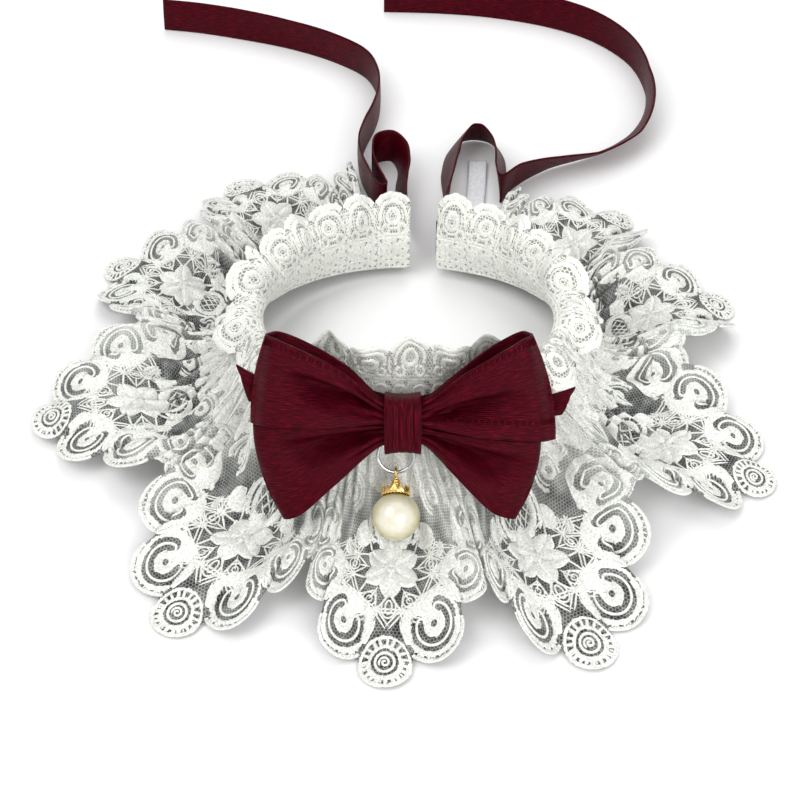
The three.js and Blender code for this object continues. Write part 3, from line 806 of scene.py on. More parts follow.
def add_net(name, grid, material, flat, stands_for):
    faces = grid_faces(*grid.shape[:2])
    return add_piece(name, grid, faces, material, "lace", uv=spread(*flat), stands_for=stands_for)


def make_flounce():
    repeats = np.linspace(STRIP_START, STRIP_END, 961)[:, None]
    v = np.linspace(0, 1, 57)[None] * flounce_length(repeats)
    flat = (repeats * REPEAT_PITCH, v)
    return add_net("flounce_net", flounce_point(repeats, v), OUTER_NET, flat, "flounce")


def make_frill():
    along = np.linspace(0, 1, 841)[:, None]
    w = -FRILL_BELOW + np.linspace(0, 1, 29)[None] * (frill_top(along) + FRILL_BELOW)
    return add_net("frill_net", frill_point(along, w), FRILL_NET, (along * FRILL_LENGTH, w), "neck_frill")


flounce_piece = make_flounce()
frill_piece = make_frill()

# ---- bow, knot and band

BAND_STEPS = 480
BAND_THICKNESS = 0.6
BAND_SWELL = 0.25
BAND_SWELLS = 31
BAND_PINCH = 0.5
PINCH_ANGLE = 20


def make_band():
    along = np.linspace(BAND_INSET, 1 - BAND_INSET, BAND_STEPS + 1)
    across = np.linspace(0, 1, 11)
    proud = FRILL_WALL / 2 + BAND_GAP + RIBBON_WALL / 2
    swell = BAND_SWELL * np.sin(TAU * BAND_SWELLS * along)[:, None] * np.sin(math.pi * across)
    # The stitches that hold the bow pinch the ribbon behind the knot.
    front_angle = SEAM_START + SEAM_SWEEP * along
    pinch = BAND_PINCH * np.exp(-((front_angle / PINCH_ANGLE) ** 2))
    w = BAND_LOW + (BAND_HIGH - BAND_LOW) * (1 - pinch)[:, None] * across
    grid = frill_point(along[:, None], w, proud + swell)
    flat = (along_lengths(grid[:, 5])[:, None], w)
    return add_cloth("band_ribbon", grid, BAND_THICKNESS, flat, "ribbon_band")


# name, side, out, top tuck, foot tuck, crease place, then stations of x, top, foot and puff from the knot
BOW_LOOPS = [
    (
        "bow_upper_left", -1, 0.7, 3.6, 0, 0.42,
        [
            (1, 4.2, 0.4, 0.9), (4.6, 5.3, 0.4, 1.1), (12.5, 12.4, 0.4, 3),
            (22, 17.4, 0.4, 3.8), (29, 19.8, 0.4, 3), (31.4, 20, 0.4, 1.1),
        ],
    ),
    (
        "bow_upper_right", 1, 0.7, 5.4, 0, 0.56,
        [
            (1, 4.2, 0.4, 0.9), (4.6, 5.2, -0.4, 1.1), (14, 12.4, -1.6, 3),
            (21.5, 16.8, -2.4, 3.8), (29, 19.8, -3, 3), (31.6, 20, -3.2, 1.1),
        ],
    ),
    (
        "bow_lower_left", -1, -0.8, 0, 6, 0.26,
        [
            (1, -0.4, -4.2, 0.9), (4.6, -0.4, -5, 1.1), (15, -0.4, -13.2, 2.4),
            (25, -0.4, -20.4, 2.6), (31, -0.4, -22, 1.1),
        ],
    ),
    (
        "bow_lower_right", 1, -0.8, 0, 5, 0.3,
        [
            (1, -0.4, -4.2, 0.9), (4.6, -1.2, -5, 1.1), (13, -2.4, -13, 2.4),
            (22, -3.3, -20.4, 2.6), (28.6, -4, -22, 1.1),
        ],
    ),
]
CREASE_DEPTH = 5
CREASE_STEEP = 0.17
CREASE_SOFT = 0.42
LOOP_PLEAT = 0.45
LOOP_SOFT = 0.35
LOOP_SOFT_FINE = 0.18
LOOP_THICKNESS = 0.6
LOOP_STEPS = 121
LOOP_WIDTH_STEPS = 49


def loop_path(stations):
    """The loop's stations out along the front, round its end and back behind, joined smoothly."""
    front = np.array(stations, float)
    x, top, foot, puff = front[-1]
    corners = np.vstack([front, [x + puff, top, foot, 0], front[::-1] * [1, 1, 1, -1]])
    return curve_through(corners, np.linspace(0, 1, LOOP_STEPS)), x + puff


def make_loop(name, side, out, top_tuck, foot_tuck, crease_place, stations):
    path, stop = loop_path(stations)
    x, top, foot, depth = (column[:, None] for column in path.T)
    share = np.linspace(0, 1, LOOP_WIDTH_STEPS)[None]
    tuck = (x / stop) ** 3 * (top_tuck * (1 - share) ** 2 + foot_tuck * share**2)
    up = mix(top, foot, share)
    fading = smooth((x - 3.5) / 7) * (1 - smooth((x - 16) / 14))
    beside = (share - crease_place) / np.where(share < crease_place, -CREASE_STEEP, CREASE_SOFT)
    crease = CREASE_DEPTH * fading * (1 - smooth(beside)) * (depth > 0)
    near_knot = 1 - smooth((x - 5) / 14)
    pleats = LOOP_PLEAT * near_knot * np.cos(TAU * 3.5 * share + 0.8 * side) * (1 - smooth((3 - x) / 2))
    soft = LOOP_SOFT * np.sin(1.7 + 4.4 * share + 0.21 * x * side) * smooth((x - 6) / 10)
    soft = soft + LOOP_SOFT_FINE * np.sin(9 * share + 0.37 * x)
    grid = on_bow(side * (x - tuck), up, out + depth - crease + (pleats + soft) * np.sign(depth + 1e-9))
    run = along_lengths(path[:, [0, 3]])[:, None]
    # The right-hand loops are mirrored, so their rows run the other way to keep the faces outward.
    flat = (run[::-side], share * 22)
    piece = add_cloth(name + "_ribbon", grid[::-side], LOOP_THICKNESS, flat, name)
    width, length = (top - foot).max(), run[-1, 0]
    cut = width * (length - (top_tuck + foot_tuck) * 2 / 3)
    return piece, grid, (width, length, cut)


def squared(value):
    return np.sign(value) * np.abs(value) ** KNOT_SQUARENESS


def make_knot():
    turn = circle(96)[:, None]
    across = np.linspace(-1, 1, 33)[None]
    up = KNOT_UP * mix(KNOT_WAIST, 1, across**2) * squared(np.cos(turn))
    pleat = KNOT_PLEAT * np.cos(TAU * 2.5 * across) * (np.sin(turn) > 0)
    grid = on_bow(KNOT_HALF_WIDTH * across, up, (KNOT_OUT + pleat) * squared(np.sin(turn)))
    flat = (turn * 5, across * KNOT_HALF_WIDTH)
    return add_cloth("knot_ribbon", grid, RIBBON_WALL, flat, "bow_knot", around=True)


# x, up and out of the corners of the folded ends that show beside the bow, two rows of two
WEDGES = {
    "bow_end_left": [(-29, 9, -1.2), (-35.6, 13, -0.8), (-29, 4, -1.2), (-33.2, 4.6, -0.8)],
    "bow_end_right": [(30, 5.5, -1.2), (37, 8, -0.6), (30, 1, -1.2), (34.4, 1.6, -0.8)],
}


def make_wedge(name, corners):
    a, b = np.linspace(0, 1, 25)[:, None], np.linspace(0, 1, 13)[None]
    upper, lower = (mix(*np.array(row, float), a[..., None]) for row in (corners[:2], corners[2:]))
    x, up, out = np.moveaxis(mix(upper, lower, b[..., None]), -1, 0)
    ruffled = 0.35 * np.sin(TAU * 1.5 * b + 2 * a) * a
    grid = on_bow(x, up, out + ruffled)
    add_cloth(name, grid if name.endswith("left") else grid[::-1], LOOP_THICKNESS, (a * 9, b * 10))


band_piece = make_band()
loops = {loop[0]: make_loop(*loop) for loop in BOW_LOOPS}
knot_piece = make_knot()
for wedge in WEDGES.items():
    make_wedge(*wedge)

# ---- ring, cap, pearl and tab


def tube(points, radius, sides):
    """A round wire along a closed ring of points."""
    forward = unit(np.roll(points, -1, 0) - np.roll(points, 1, 0))
    outward = unit(points - points.mean(0))
    outward = unit(outward - forward * (outward * forward).sum(1, keepdims=True))
    side = np.cross(forward, outward)
    turn = np.linspace(0, TAU, sides + 1)[None, :, None]
    grid = points[:, None] + radius * (np.cos(turn) * outward[:, None] + np.sin(turn) * side[:, None])
    return grid.reshape(-1, 3), grid_faces(len(points), sides + 1, True)


def make_ring():
    x, up = RING_RADIUS * round_at(circle(96)).T
    points = on_bow(RING_ACROSS + x, RING_UP + up, RING_OUT)
    add_piece("split_ring", *tube(points, WIRE_RADIUS, 14), SILVER, "silver", "ring", stands_for="jump_ring")


PENDANT_AXES = (RIGHT, PENDANT_FRONT, PENDANT_DOWN)


def on_pendant(radius, turn, down):
    """Points round the pendant's axis, down from the ring's wire to the bead."""
    return on_axes(RING_FOOT, PENDANT_AXES, (radius * np.cos(turn), radius * np.sin(turn), down))


# radius and distance down of the cap's outside, eye seat to crown
CAP_PROFILE = [
    (0.01, 1.2), (0.5, 1.22), (0.7, 1.4), (0.62, 1.65), (0.9, 1.85), (1.0, 2.1), (0.8, 2.35), (1.1, 2.5),
    (1.15, 2.8), (1.0, 3.0), (1.3, 3.3), (1.8, 3.7), (2.3, 4.1), (2.65, 4.5), (2.8, 4.8), (2.85, 5.05),
]
CROWN_POINTS = 13
CROWN_FOOT = (2.75, 5)
CROWN_LOW = 0.5
CROWN_TALL = 1.65
CROWN_THICKNESS = 0.25
CROWN_BEAD = 0.24
BALL_SIDES = 12


def balls(middles, radius):
    """Small balls at given points."""
    turn = circle(BALL_SIDES)[:, None]
    tip = np.linspace(0.02, math.pi - 0.02, BALL_SIDES // 2 + 1)[None]
    around = spread(np.sin(tip) * np.cos(turn), np.sin(tip) * np.sin(turn), np.cos(tip))
    points = middles[:, None] + radius * around.reshape(1, -1, 3)
    faces = grid_faces(*around.shape[:2], True)
    starts = np.arange(len(middles)) * points.shape[1]
    return points.reshape(-1, 3), (faces[None] + starts[:, None, None]).reshape(-1, 4)


def add_gilt(name, points, faces, stands_for=None):
    add_piece(name, points, faces, GOLD, "gold", "bead", stands_for=stands_for)


def make_cap():
    turn = circle(144)[:, None]
    profile = np.array(CAP_PROFILE)
    path = curve_through(np.c_[profile, np.zeros(len(profile))], np.linspace(0, 1, 41))
    radius, down = path[None, :, 0], path[None, :, 1]
    neck = on_pendant(radius, turn, down)
    add_gilt("cap_neck", neck, grid_faces(*neck.shape[:2], True), "bead_cap")
    pointed = np.abs(np.sin(turn * CROWN_POINTS / 2)) ** 1.5
    share = np.linspace(0, 1, 17)[None]
    radius = CROWN_FOOT[0] + 0.1 + 0.2 * share * (2 - share)
    rise = share * (CROWN_LOW + (CROWN_TALL - CROWN_LOW) * pointed)
    crown = on_pendant(radius, turn, CROWN_FOOT[1] - rise)
    add_gilt("cap_crown", *wall(crown, CROWN_THICKNESS, around=True))
    tips = (np.arange(CROWN_POINTS) + 0.5) / CROWN_POINTS * TAU
    foot = np.arange(CROWN_POINTS * 2) / (CROWN_POINTS * 2) * TAU
    around = np.concatenate([tips, foot])
    down = CROWN_FOOT[1] - np.where(np.arange(len(around)) < CROWN_POINTS, CROWN_TALL, -0.05)
    middles = on_pendant(CROWN_FOOT[0] + CROWN_THICKNESS, around, down)
    add_gilt("cap_beads", *balls(middles, CROWN_BEAD))
    out, down = EYE_RADIUS * round_at(turn[:, 0]).T
    eye = on_axes(RING_FOOT, PENDANT_AXES, (0, out, EYE_SEAT + down))
    add_gilt("cap_eye", *tube(eye, EYE_WIRE, 12))


def make_pearl():
    turn = circle(96)[:, None]
    tip = np.linspace(0.001, math.pi - 0.001, 65)[None]
    flat = 1 - BEAD_FLAT * np.cos(tip) ** 2
    bead = on_pendant(BEAD_RADIUS * np.sin(tip), turn, BEAD_DROP - BEAD_RADIUS * flat * np.cos(tip))
    faces = grid_faces(*bead.shape[:2], True)
    add_piece("pearl_bead", bead, faces, PEARL, "pearl", "bead", stands_for="pearl")


# x, y and height of the middle of the tab
TAB_ROWS = [(16, 54, 0.9), (18.2, 65, 0.7), (20.2, 76, 0.6), (21.4, 88, 0.6), (22, 98, 0.6)]
TAB_WIDTH = 5
TAB_THICKNESS = 0.5


def make_tab():
    middle = curve_through(TAB_ROWS, np.linspace(0, 1, 97))
    across = np.linspace(-0.5, 0.5, 11)
    grid = middle[:, None] + across[None, :, None] * [TAB_WIDTH, 0, 0]
    length = along_lengths(middle)
    grid[..., 2] += 0.12 * np.sin(length / 3.1)[:, None] + 0.25 * np.abs(2 * across[None]) ** 2
    flat = (length[::-1, None], across[None] * TAB_WIDTH)
    tape = {"stands_for": "satin_tab", "material": WHITE_SATIN, "slot": "white_satin"}
    declare_cord(add_cloth("tab_tape", grid[::-1], TAB_THICKNESS, flat, **tape), middle)


make_ring()
make_cap()
make_pearl()
make_tab()

# ---- embroidery charts

RNG = np.random.default_rng(7)
DIAMOND = [(-1, 0), (0, 1), (1, 0), (0, -1)]
GROOVE_SHORT = 0.1
GROOVE_DEPTH = 0.4
RIB_SECTION = [(0, 0.05), (0.22, 1), (0.78, 1), (1, 0.05)]
PAD_PITCH = 0.5
RAGGED = 0.14  # spread of the ends of satin stitches
HEXAGON = [(-1, 0), (-0.6, 0.8), (0.6, 0.8), (1, 0), (0.6, -0.8), (-0.6, -0.8)]


class Chart:
    """Stitches drawn flat: a is across the lace, b is up from the rosette, z off the net."""

    def __init__(self):
        self.points = []
        self.faces = []
        self.count = 0

    def add(self, points, faces):
        self.faces.append(faces + self.count)
        self.points.append(points.reshape(-1, 3))
        self.count += points.size // 3

    def rings(self, centres, sideways, half, tall, section, closed=False):
        """Runs of cross-sections: centres are (runs, sections, 2)."""
        section = np.array(section, float)
        runs, sections = centres.shape[:2]
        across = section[:, 0] * half[..., None]
        flat = centres[:, :, None] + sideways[:, :, None] * across[..., None]
        z = section[:, 1] * tall[..., None]
        sides = len(section)
        i = np.arange(sections if closed else sections - 1)[:, None]
        j = np.arange(sides)[None]
        after, beside = (i + 1) % sections, (j + 1) % sides
        quads = np.stack([i * sides + j, i * sides + beside, after * sides + beside, after * sides + j], -1)
        quads = quads.reshape(-1, 4)[None] + (np.arange(runs) * sections * sides)[:, None, None]
        self.add(np.concatenate([flat, z[..., None]], -1), quads.reshape(-1, 4))

    def cord(self, path, width, tall, closed=False, section=DIAMOND):
        """A thread along a path, thin at its ends unless it is closed."""
        path = np.asarray(path, float)
        forward = np.roll(path, -1, 0) - np.roll(path, 1, 0) if closed else np.gradient(path, axis=0)
        full = np.ones(len(path))
        if not closed:
            full[0] = full[-1] = 0.35
        half, height = (full * width / 2)[None], (full * tall)[None]
        self.rings(path[None], left_of(unit(forward))[None], half, height, section, closed)

    def ring(self, centre, radius, step, width, tall, section=DIAMOND):
        """A closed cord round a centre, with a place for each step along it."""
        self.cord(arc(centre, radius, 0, 360, step)[:-1], width, tall, True, section)

    def stitches(self, starts, ends, width, tall, uneven=0.12):
        """Single satin stitches from starts to ends, thick in the middle and thin at both ends."""
        starts = starts + RNG.normal(0, uneven / 2, starts.shape)
        ends = ends + RNG.normal(0, uneven, ends.shape)
        share = np.array([0, 0.16, 0.84, 1])
        full = np.array([0.3, 1, 1, 0.3])
        centres = starts[:, None] + share[None, :, None] * (ends - starts)[:, None]
        sideways = left_of(unit(ends - starts))[:, None].repeat(4, 1)
        size = RNG.uniform(0.85, 1.12, len(starts))[:, None]
        self.rings(centres, sideways, size * full * width / 2, size * full * tall, DIAMOND)

    def ribs(self, starts, ends, tall, ragged, closed=False):
        """A band of satin stitches laid side by side: a ridge for each stitch, with a groove between."""
        across = unit(ends - starts)
        reach = RNG.normal(0, ragged, (2, len(starts), 1))
        starts, ends = starts + reach[0] * across, ends + reach[1] * across
        after = np.roll(np.arange(len(starts)), -1)[: None if closed else -1]
        groove = GROOVE_SHORT * across[: len(after)]
        columns = len(starts) + len(after)
        first, last = np.zeros((columns, 2)), np.zeros((columns, 2))
        first[::2], last[::2] = starts, ends
        first[1::2] = (starts[: len(after)] + starts[after]) / 2 + groove
        last[1::2] = (ends[: len(after)] + ends[after]) / 2 - groove
        full = np.where(np.arange(columns) % 2, GROOVE_DEPTH, 1)[:, None]
        share, height = np.array(RIB_SECTION).T
        flat = first[:, None] + share[None, :, None] * (last - first)[:, None]
        z = full * height * tall
        self.add(np.concatenate([flat, z[..., None]], -1), grid_faces(columns, len(share), closed))

    def radial(self, centre, inner, outer, start=0, end=360, pitch=0.55, tall=0.3, ragged=RAGGED):
        """A band of stitches that point away from a centre."""
        count = max(3, round(math.radians(end - start) * (inner + outer) / 2 / pitch))
        rays = rays_between(start, end, count)
        self.ribs(centre + outer * rays, centre + inner * rays, tall, ragged, end - start >= 360)

    def spokes(self, centre, inner, outer, count, width, start=0, end=360, tall=0.26):
        """Separate stitches that point away from a centre."""
        rays = rays_between(start, end, count)
        self.stitches(centre + inner * rays, centre + outer * rays, width, tall)

    def across(self, path, low, high, pitch, tall):
        """A band of stitches square to a path, from low to high on its left side."""
        lengths = along_lengths(path)
        count = max(3, round(lengths[-1] / pitch))
        at = (np.arange(count) + 0.5) / count * lengths[-1]
        runs = (path, unit(np.gradient(path, axis=0)))
        middle, forward = (spread(*(np.interp(at, lengths, values) for values in run.T)) for run in runs)
        sideways = left_of(unit(forward))
        self.ribs(middle + high * sideways, middle + low * sideways, tall, RAGGED)

    def petal(self, root, tip, width, pitch, tall):
        """A leaf filled with slanting satin stitches on both sides of its middle."""
        root, tip = np.asarray(root, float), np.asarray(tip, float)
        length = np.linalg.norm(tip - root)
        forward = (tip - root) / length
        sideways = left_of(forward)
        count = max(4, round(length / pitch))
        share = (np.arange(count) + 0.5) / count
        half = width / 2 * np.sin(math.pi * share**0.8) ** 0.7
        middle = root + share[:, None] * (tip - root)
        lean = forward * width * 0.12
        for side in (-1, 1):
            ends = middle + side * half[:, None] * sideways + lean
            self.ribs(*(middle, ends)[::-side], tall, 0.05)

    def pad(self, depth, low, high, pitch=PAD_PITCH, tall=0.2):
        """A low field of satin wherever depth, a function of places, is positive."""
        a, b = (np.arange(low[i], high[i] + pitch, pitch) for i in (0, 1))
        grid = np.stack(np.meshgrid(a, b, indexing="ij"), -1)
        flat, faces = grid.reshape(-1, 2), grid_faces(len(a), len(b))
        within = depth(flat)
        faces = faces[within[faces].mean(1) > 0]
        cells = np.bincount(faces.ravel(), minlength=len(flat))
        rim = (cells > 0) & (cells < 4)
        nudge = np.eye(2) * 0.04
        slope = np.stack([depth(flat + step) - depth(flat - step) for step in nudge], -1) / 0.08
        steep = np.maximum((slope**2).sum(-1), 0.4)
        move = np.clip(within / steep, -pitch, pitch)[:, None] * slope
        flat = np.where(rim[:, None], flat - move, flat)
        z = tall * smooth(np.where(rim, 0, within) / 0.8)
        used, faces = np.unique(faces, return_inverse=True)
        self.add(np.concatenate([flat, z[:, None]], -1)[used], faces.reshape(-1, 4))

    def mirrored(self):
        """Adds the mirror image across the middle of the repeat."""
        points, faces = self.mesh()
        self.add(points * [-1, 1, 1], faces[:, ::-1])

    def mesh(self):
        return np.concatenate(self.points), np.concatenate(self.faces)


def rays_between(start, end, count):
    """Directions spaced evenly from start to end, in degrees."""
    return round_at(np.radians(start + (np.arange(count) + 0.5) / count * (end - start)))


def arc(centre, radius, start, end, step):
    count = max(4, round(abs(math.radians(end - start)) * radius / step))
    return np.asarray(centre, float) + radius * round_at(np.radians(np.linspace(start, end, count + 1)))


def polar(centre, radius, degrees):
    turn = math.radians(degrees)
    return np.asarray(centre, float) + radius * np.array([math.cos(turn), math.sin(turn)])


def line(a, b, step=1.2):
    a, b = np.asarray(a, float), np.asarray(b, float)
    count = max(2, round(np.linalg.norm(b - a) / step))
    return a + np.linspace(0, 1, count + 1)[:, None] * (b - a)


def offset(path, distance):
    return path + distance * left_of(unit(np.gradient(path, axis=0)))


def disc(places, centre, radius):
    """Depth inside a disc: positive inside and negative outside."""
    return radius - np.linalg.norm(places - np.asarray(centre, float), axis=-1)


def about(places, centre):
    """Distance and direction in radians of places from a centre."""
    away = places - np.asarray(centre, float)
    return np.linalg.norm(away, axis=-1), np.arctan2(away[..., 1], away[..., 0])


def ellipse(places, centre, reach):
    reach = np.asarray(reach, float)
    return (1 - np.linalg.norm((places - np.asarray(centre, float)) / reach, axis=-1)) * reach.min()


def folded(places):
    """The same places on the right-hand half of the repeat."""
    return np.stack([np.abs(places[..., 0]), places[..., 1]], -1)


LOBE_ACROSS, LOBE_UP, _ = zip(*LOBES)


def edge_depth(places):
    """Distance in from the scalloped edge, inside the lobes."""
    return np.max([disc(places, lobe[:2], lobe[2]) for lobe in LOBES], 0)


BORDER = 2.5
# Scrolls on the right-hand half: centre, size and the way each one opens
SCROLLS = [((10.9, 7.9), 1.02, 118), ((21.9, 18.5), 1.13, 150), ((29.5, 30.6), 1.25, 186)]
CHANNEL_INNER = 2.5
CHANNEL_OUTER = 5.5
CHANNEL_CORD = 4.15
CHANNEL_SPREAD = 46  # degrees from the opening to each end of the channel
SCROLL_RIM = 2.1
SLIT = 0.24
FLOWER = np.array([0, 23.0])
FLOWER_RADIUS = 7.9
PETAL_DIP = 1.9
PETALS = 6
TRELLIS_NODES = 12
TRELLIS_RADIUS = 12.0
EYE_RING = 1.75
STAR_REACH = 9.5
NODE_REACH = 7.5
OUTER_NODES = ((16.4, -2), (16.0, 20), (15.6, -24), (20.2, 9))
FRILL_PITCH = 11.8
LATTICE = (0, 33.8)
LATTICE_REACH = (5.0, 3.5)
LATTICE_PITCH = 1.8
ROSETTE_DARK = 5.2


def scroll_ends(centre, size, opening):
    for side in (-1, 1):
        yield polar(centre, CHANNEL_CORD * size, opening + side * CHANNEL_SPREAD)


def channel_depth(places, centre, size, opening):
    """The dark channel of a scroll, which curls in at both ends, and the eye in its middle."""
    radius, turn = about(places, centre)
    from_opening = np.abs((np.degrees(turn) - opening + 180) % 360 - 180)
    ring = np.minimum(radius - CHANNEL_INNER * size, CHANNEL_OUTER * size - radius)
    body = np.minimum(ring, np.radians(from_opening - CHANNEL_SPREAD) * radius)
    caps = [disc(places, end, 1.5 * size) for end in scroll_ends(centre, size, opening)]
    eye = disc(places, polar(centre, 0.25 * size, opening), 0.85 * size)
    return np.max([body, eye, *caps], 0)


def fill_depth(places):
    """The satin ground that fills between the border, the scrolls and the rosette."""
    places = folded(places)
    scrolls = np.max([disc(places, c, CHANNEL_OUTER * s + SCROLL_RIM) for c, s, _ in SCROLLS], 0)
    rosette = disc(places, (0, 0), ROSETTE_DARK)
    dark = np.max([channel_depth(places, *scroll) for scroll in SCROLLS], 0)
    above_lobes = places[..., 1] - np.interp(places[..., 0], LOBE_ACROSS, LOBE_UP)
    inside = np.maximum(edge_depth(places) - BORDER + 0.4, above_lobes - 0.6)
    return np.min([scrolls, inside, -dark, -rosette], 0)


def flower_depth(places):
    """Six broad petals grown together, with a small gap at the root of each pair."""
    radius, turn = about(places, FLOWER)
    petals = np.abs(np.cos((turn - math.radians(30)) * PETALS / 2 + math.pi / 2))
    outline = FLOWER_RADIUS - PETAL_DIP * petals**1.4
    gaps = [disc(places, polar(FLOWER, 3.5, 60 * i), 0.55) for i in range(PETALS)]
    off_line = np.radians(np.abs((np.degrees(turn) + 30) % 60 - 30)) * radius
    slits = np.minimum(0.22 - off_line, radius - 5)
    return np.min([outline - radius, -np.max(gaps, 0), -slits], 0)


def crown_depth(places):
    """The ground round the lattice, which joins it to the flower with a leaf on each side."""
    places = folded(places)
    ground = np.maximum(ellipse(places, LATTICE, (9.8, 5.9)), disc(places, (10.4, 31.2), 3.1))
    window = ellipse(places, LATTICE, LATTICE_REACH)
    beside = np.minimum(places[..., 0] - 4.5, 40 - places[..., 1])
    slits = [SLIT - np.abs(ellipse(places, LATTICE, (reach, reach - 1.4))) for reach in (7.2, 9.0)]
    return np.min([ground, -window, -np.minimum(np.max(slits, 0), beside)], 0)


def draw_scroll(chart, centre, size, opening):
    """A curled scroll: its dark channel holds a cord, and stitches stand round both sides of it."""
    centre = np.asarray(centre, float)
    start, end = opening + CHANNEL_SPREAD, opening - CHANNEL_SPREAD + 360
    low, high = scroll_ends(centre, size, opening)
    curl = 0.85 * size
    lead_in = arc(polar(high, -curl, start), curl, start - 200, start, 0.45)
    lead_out = arc(polar(low, -curl, end), curl, end, end + 200, 0.45)
    body = arc(centre, CHANNEL_CORD * size, start, end, 0.8)
    chart.cord(np.vstack([lead_in[:-1], body, lead_out[1:]]), 0.62, 0.32, section=HEXAGON)
    inner, outer = CHANNEL_INNER * size, CHANNEL_OUTER * size
    chart.radial(centre, 1.0 * size, inner + 0.2, start + 14, end - 14, 0.5, 0.42, 0.2)
    chart.radial(centre, 1.0 * size, inner - 0.1, opening - 40, opening + 40, 0.55, 0.36)
    chart.ring(centre, 1.0 * size, 0.55, 0.4, 0.42, HEXAGON)
    chart.radial(centre, outer - 0.15, outer + 1.15, start - 8, end + 8, 0.55, 0.34, 0.16)


def draw_border(chart):
    """The dense edge that follows the scallops: two bands of stitches with a row of gaps between."""
    for *centre, radius in LOBES:
        turn = np.radians(np.arange(-200, 60, 0.5))
        points = np.array(centre) + radius * round_at(turn)
        on_edge = (np.abs(points[:, 1] - edge_above(points[:, 0])) < 0.02) & (points[:, 0] > -0.01)
        on_edge &= points[:, 0] < REPEAT_PITCH / 2
        degrees = np.degrees(turn[on_edge])
        low, high = degrees.min(), degrees.max()
        chart.radial(centre, radius - 1.0, radius + 0.05, low - 3, high + 3, 0.5, 0.34, 0.13)
        chart.radial(centre, radius - BORDER, radius - 1.65, low - 6, high + 6, 0.55, 0.3, 0.1)
        count = round(math.radians(high - low) * radius / 1.5)
        chart.spokes(centre, radius - 1.8, radius - 0.9, count, 0.5, low, high)
        chart.cord(arc(centre, radius - 0.15, low - 1, high + 1, 0.9), 0.4, 0.3)


def draw_star(chart, centre, reach=1.0):
    chart.spokes(centre, 0.05, reach + 0.3, 8, 0.6, 11, 371)


def draw_double(chart, a, b, gap=0.9):
    path = line(a, b, 2)
    for side in (-1, 1):
        chart.cord(offset(path, side * gap / 2), 0.52, 0.2)


def draw_flower(chart):
    chart.pad(flower_depth, (-10, 13), (10, 33), tall=0.24)
    for i in range(PETALS):
        angle = 30 + 60 * i
        chart.petal(polar(FLOWER, 1.0, angle), polar(FLOWER, 8.0, angle), 5.9, 0.5, 0.5)
        chart.cord(line(polar(FLOWER, 6.4, angle + 30), polar(FLOWER, 10.4, angle + 30)), 0.5, 0.24)
    chart.radial(FLOWER, 0.1, 1.7, 0, 360, 0.55, 0.55)


def on_side(side, radius, angle):
    """A place beside the flower, on the right-hand side or mirrored to the left."""
    return FLOWER + (polar(FLOWER, radius, angle) - FLOWER) * [side, 1]


def draw_trellis(chart):
    """Double bars and stars round the flower, ringed eyes where bars meet, and a bud under it."""
    spacing = 360 / TRELLIS_NODES
    nodes = [polar(FLOWER, TRELLIS_RADIUS, spacing * (i + 0.5)) for i in range(TRELLIS_NODES)]
    for i, node in enumerate(nodes):
        angle = spacing * (i + 0.5)
        if 60 < angle < 120:
            continue
        draw_star(chart, node)
        for turn in (-spacing / 2, spacing / 2):
            chart.cord(line(node, polar(FLOWER, 7.2, angle + turn), 2), 0.62, 0.24)
            draw_double(chart, node, polar(FLOWER, TRELLIS_RADIUS + 3.8, angle + turn))
        if not 60 < angle + spacing < 120:
            draw_double(chart, node, nodes[(i + 1) % TRELLIS_NODES])
        draw_double(chart, node, polar(FLOWER, TRELLIS_RADIUS + 3.4, angle), 0.7)
    for side in (-1, 1):
        outer = [on_side(side, *place) for place in OUTER_NODES]
        for a, star in enumerate(outer):
            draw_star(chart, star, 1.1)
            for near in outer[:a]:
                if np.linalg.norm(star - near) < STAR_REACH:
                    draw_double(chart, star, near)
            for node in nodes:
                if np.linalg.norm(star - node) < NODE_REACH:
                    draw_double(chart, star, node, 0.7)
        for place in ((11.6, 0), (13.6, 29), (10.2, -60)):
            chart.ring(on_side(side, *place), EYE_RING, 0.8, 0.42, 0.3)
            chart.ring(on_side(side, *place), EYE_RING - 0.95, 0.6, 0.42, 0.3)
    bud = FLOWER + [0, -10.6]
    for reach in ((1.7, 2.9), (0.8, 1.8)):
        chart.cord(bud + reach * round_at(circle(18)), 0.5, 0.32, closed=True)


def draw_rosette(chart):
    """A spiral in a ring, with bars round it that stand apart."""
    middle = np.zeros(2)
    turn = np.linspace(0.6, 3.2 * math.pi, 22)
    chart.cord((0.11 * turn + 0.1)[:, None] * round_at(turn), 0.5, 0.34, section=HEXAGON)
    chart.ring(middle, 1.95, 0.7, 0.62, 0.36, HEXAGON)
    chart.radial(middle, 2.75, 3.55, pitch=0.5, tall=0.36, ragged=0.08)
    chart.spokes(middle, 3.2, 4.9, 19, 0.78, tall=0.32)
    chart.radial(middle, 4.75, 5.5, pitch=0.55, tall=0.3, ragged=0.1)


def draw_lattice(chart):
    middle, reach = np.array(LATTICE), np.array(LATTICE_REACH)
    for lean in (58, 122):
        way = polar((0, 0), 1, lean)
        for i in range(-3, 4):
            start = middle + i * LATTICE_PITCH * left_of(way)
            inside = [start + t * way for t in np.arange(-8, 8.1, 0.4)]
            inside = [p for p in inside if np.sum(((p - middle) / reach) ** 2) < 1.15]
            if len(inside) > 2:
                chart.cord(line(inside[0], inside[-1], 2.4), 0.5, 0.24)
    ring = middle + (reach + 1.0) * round_at(circle(32))
    chart.across(np.vstack([ring, ring[:1]]), -0.9, 0.9, 0.55, 0.36)


def draw_leaf_outline(chart, root, tip, bulge):
    share = np.linspace(0, 1, 7)[:, None]
    middle = root + share * (tip - root)
    sideways = left_of(tip - root)
    sideways = sideways / np.linalg.norm(sideways)
    for side in (-1, 1):
        chart.cord(middle + side * bulge * np.sin(math.pi * share) * sideways, 0.42, 0.24)
    chart.cord(middle[::2], 0.42 * 0.8, 0.2)


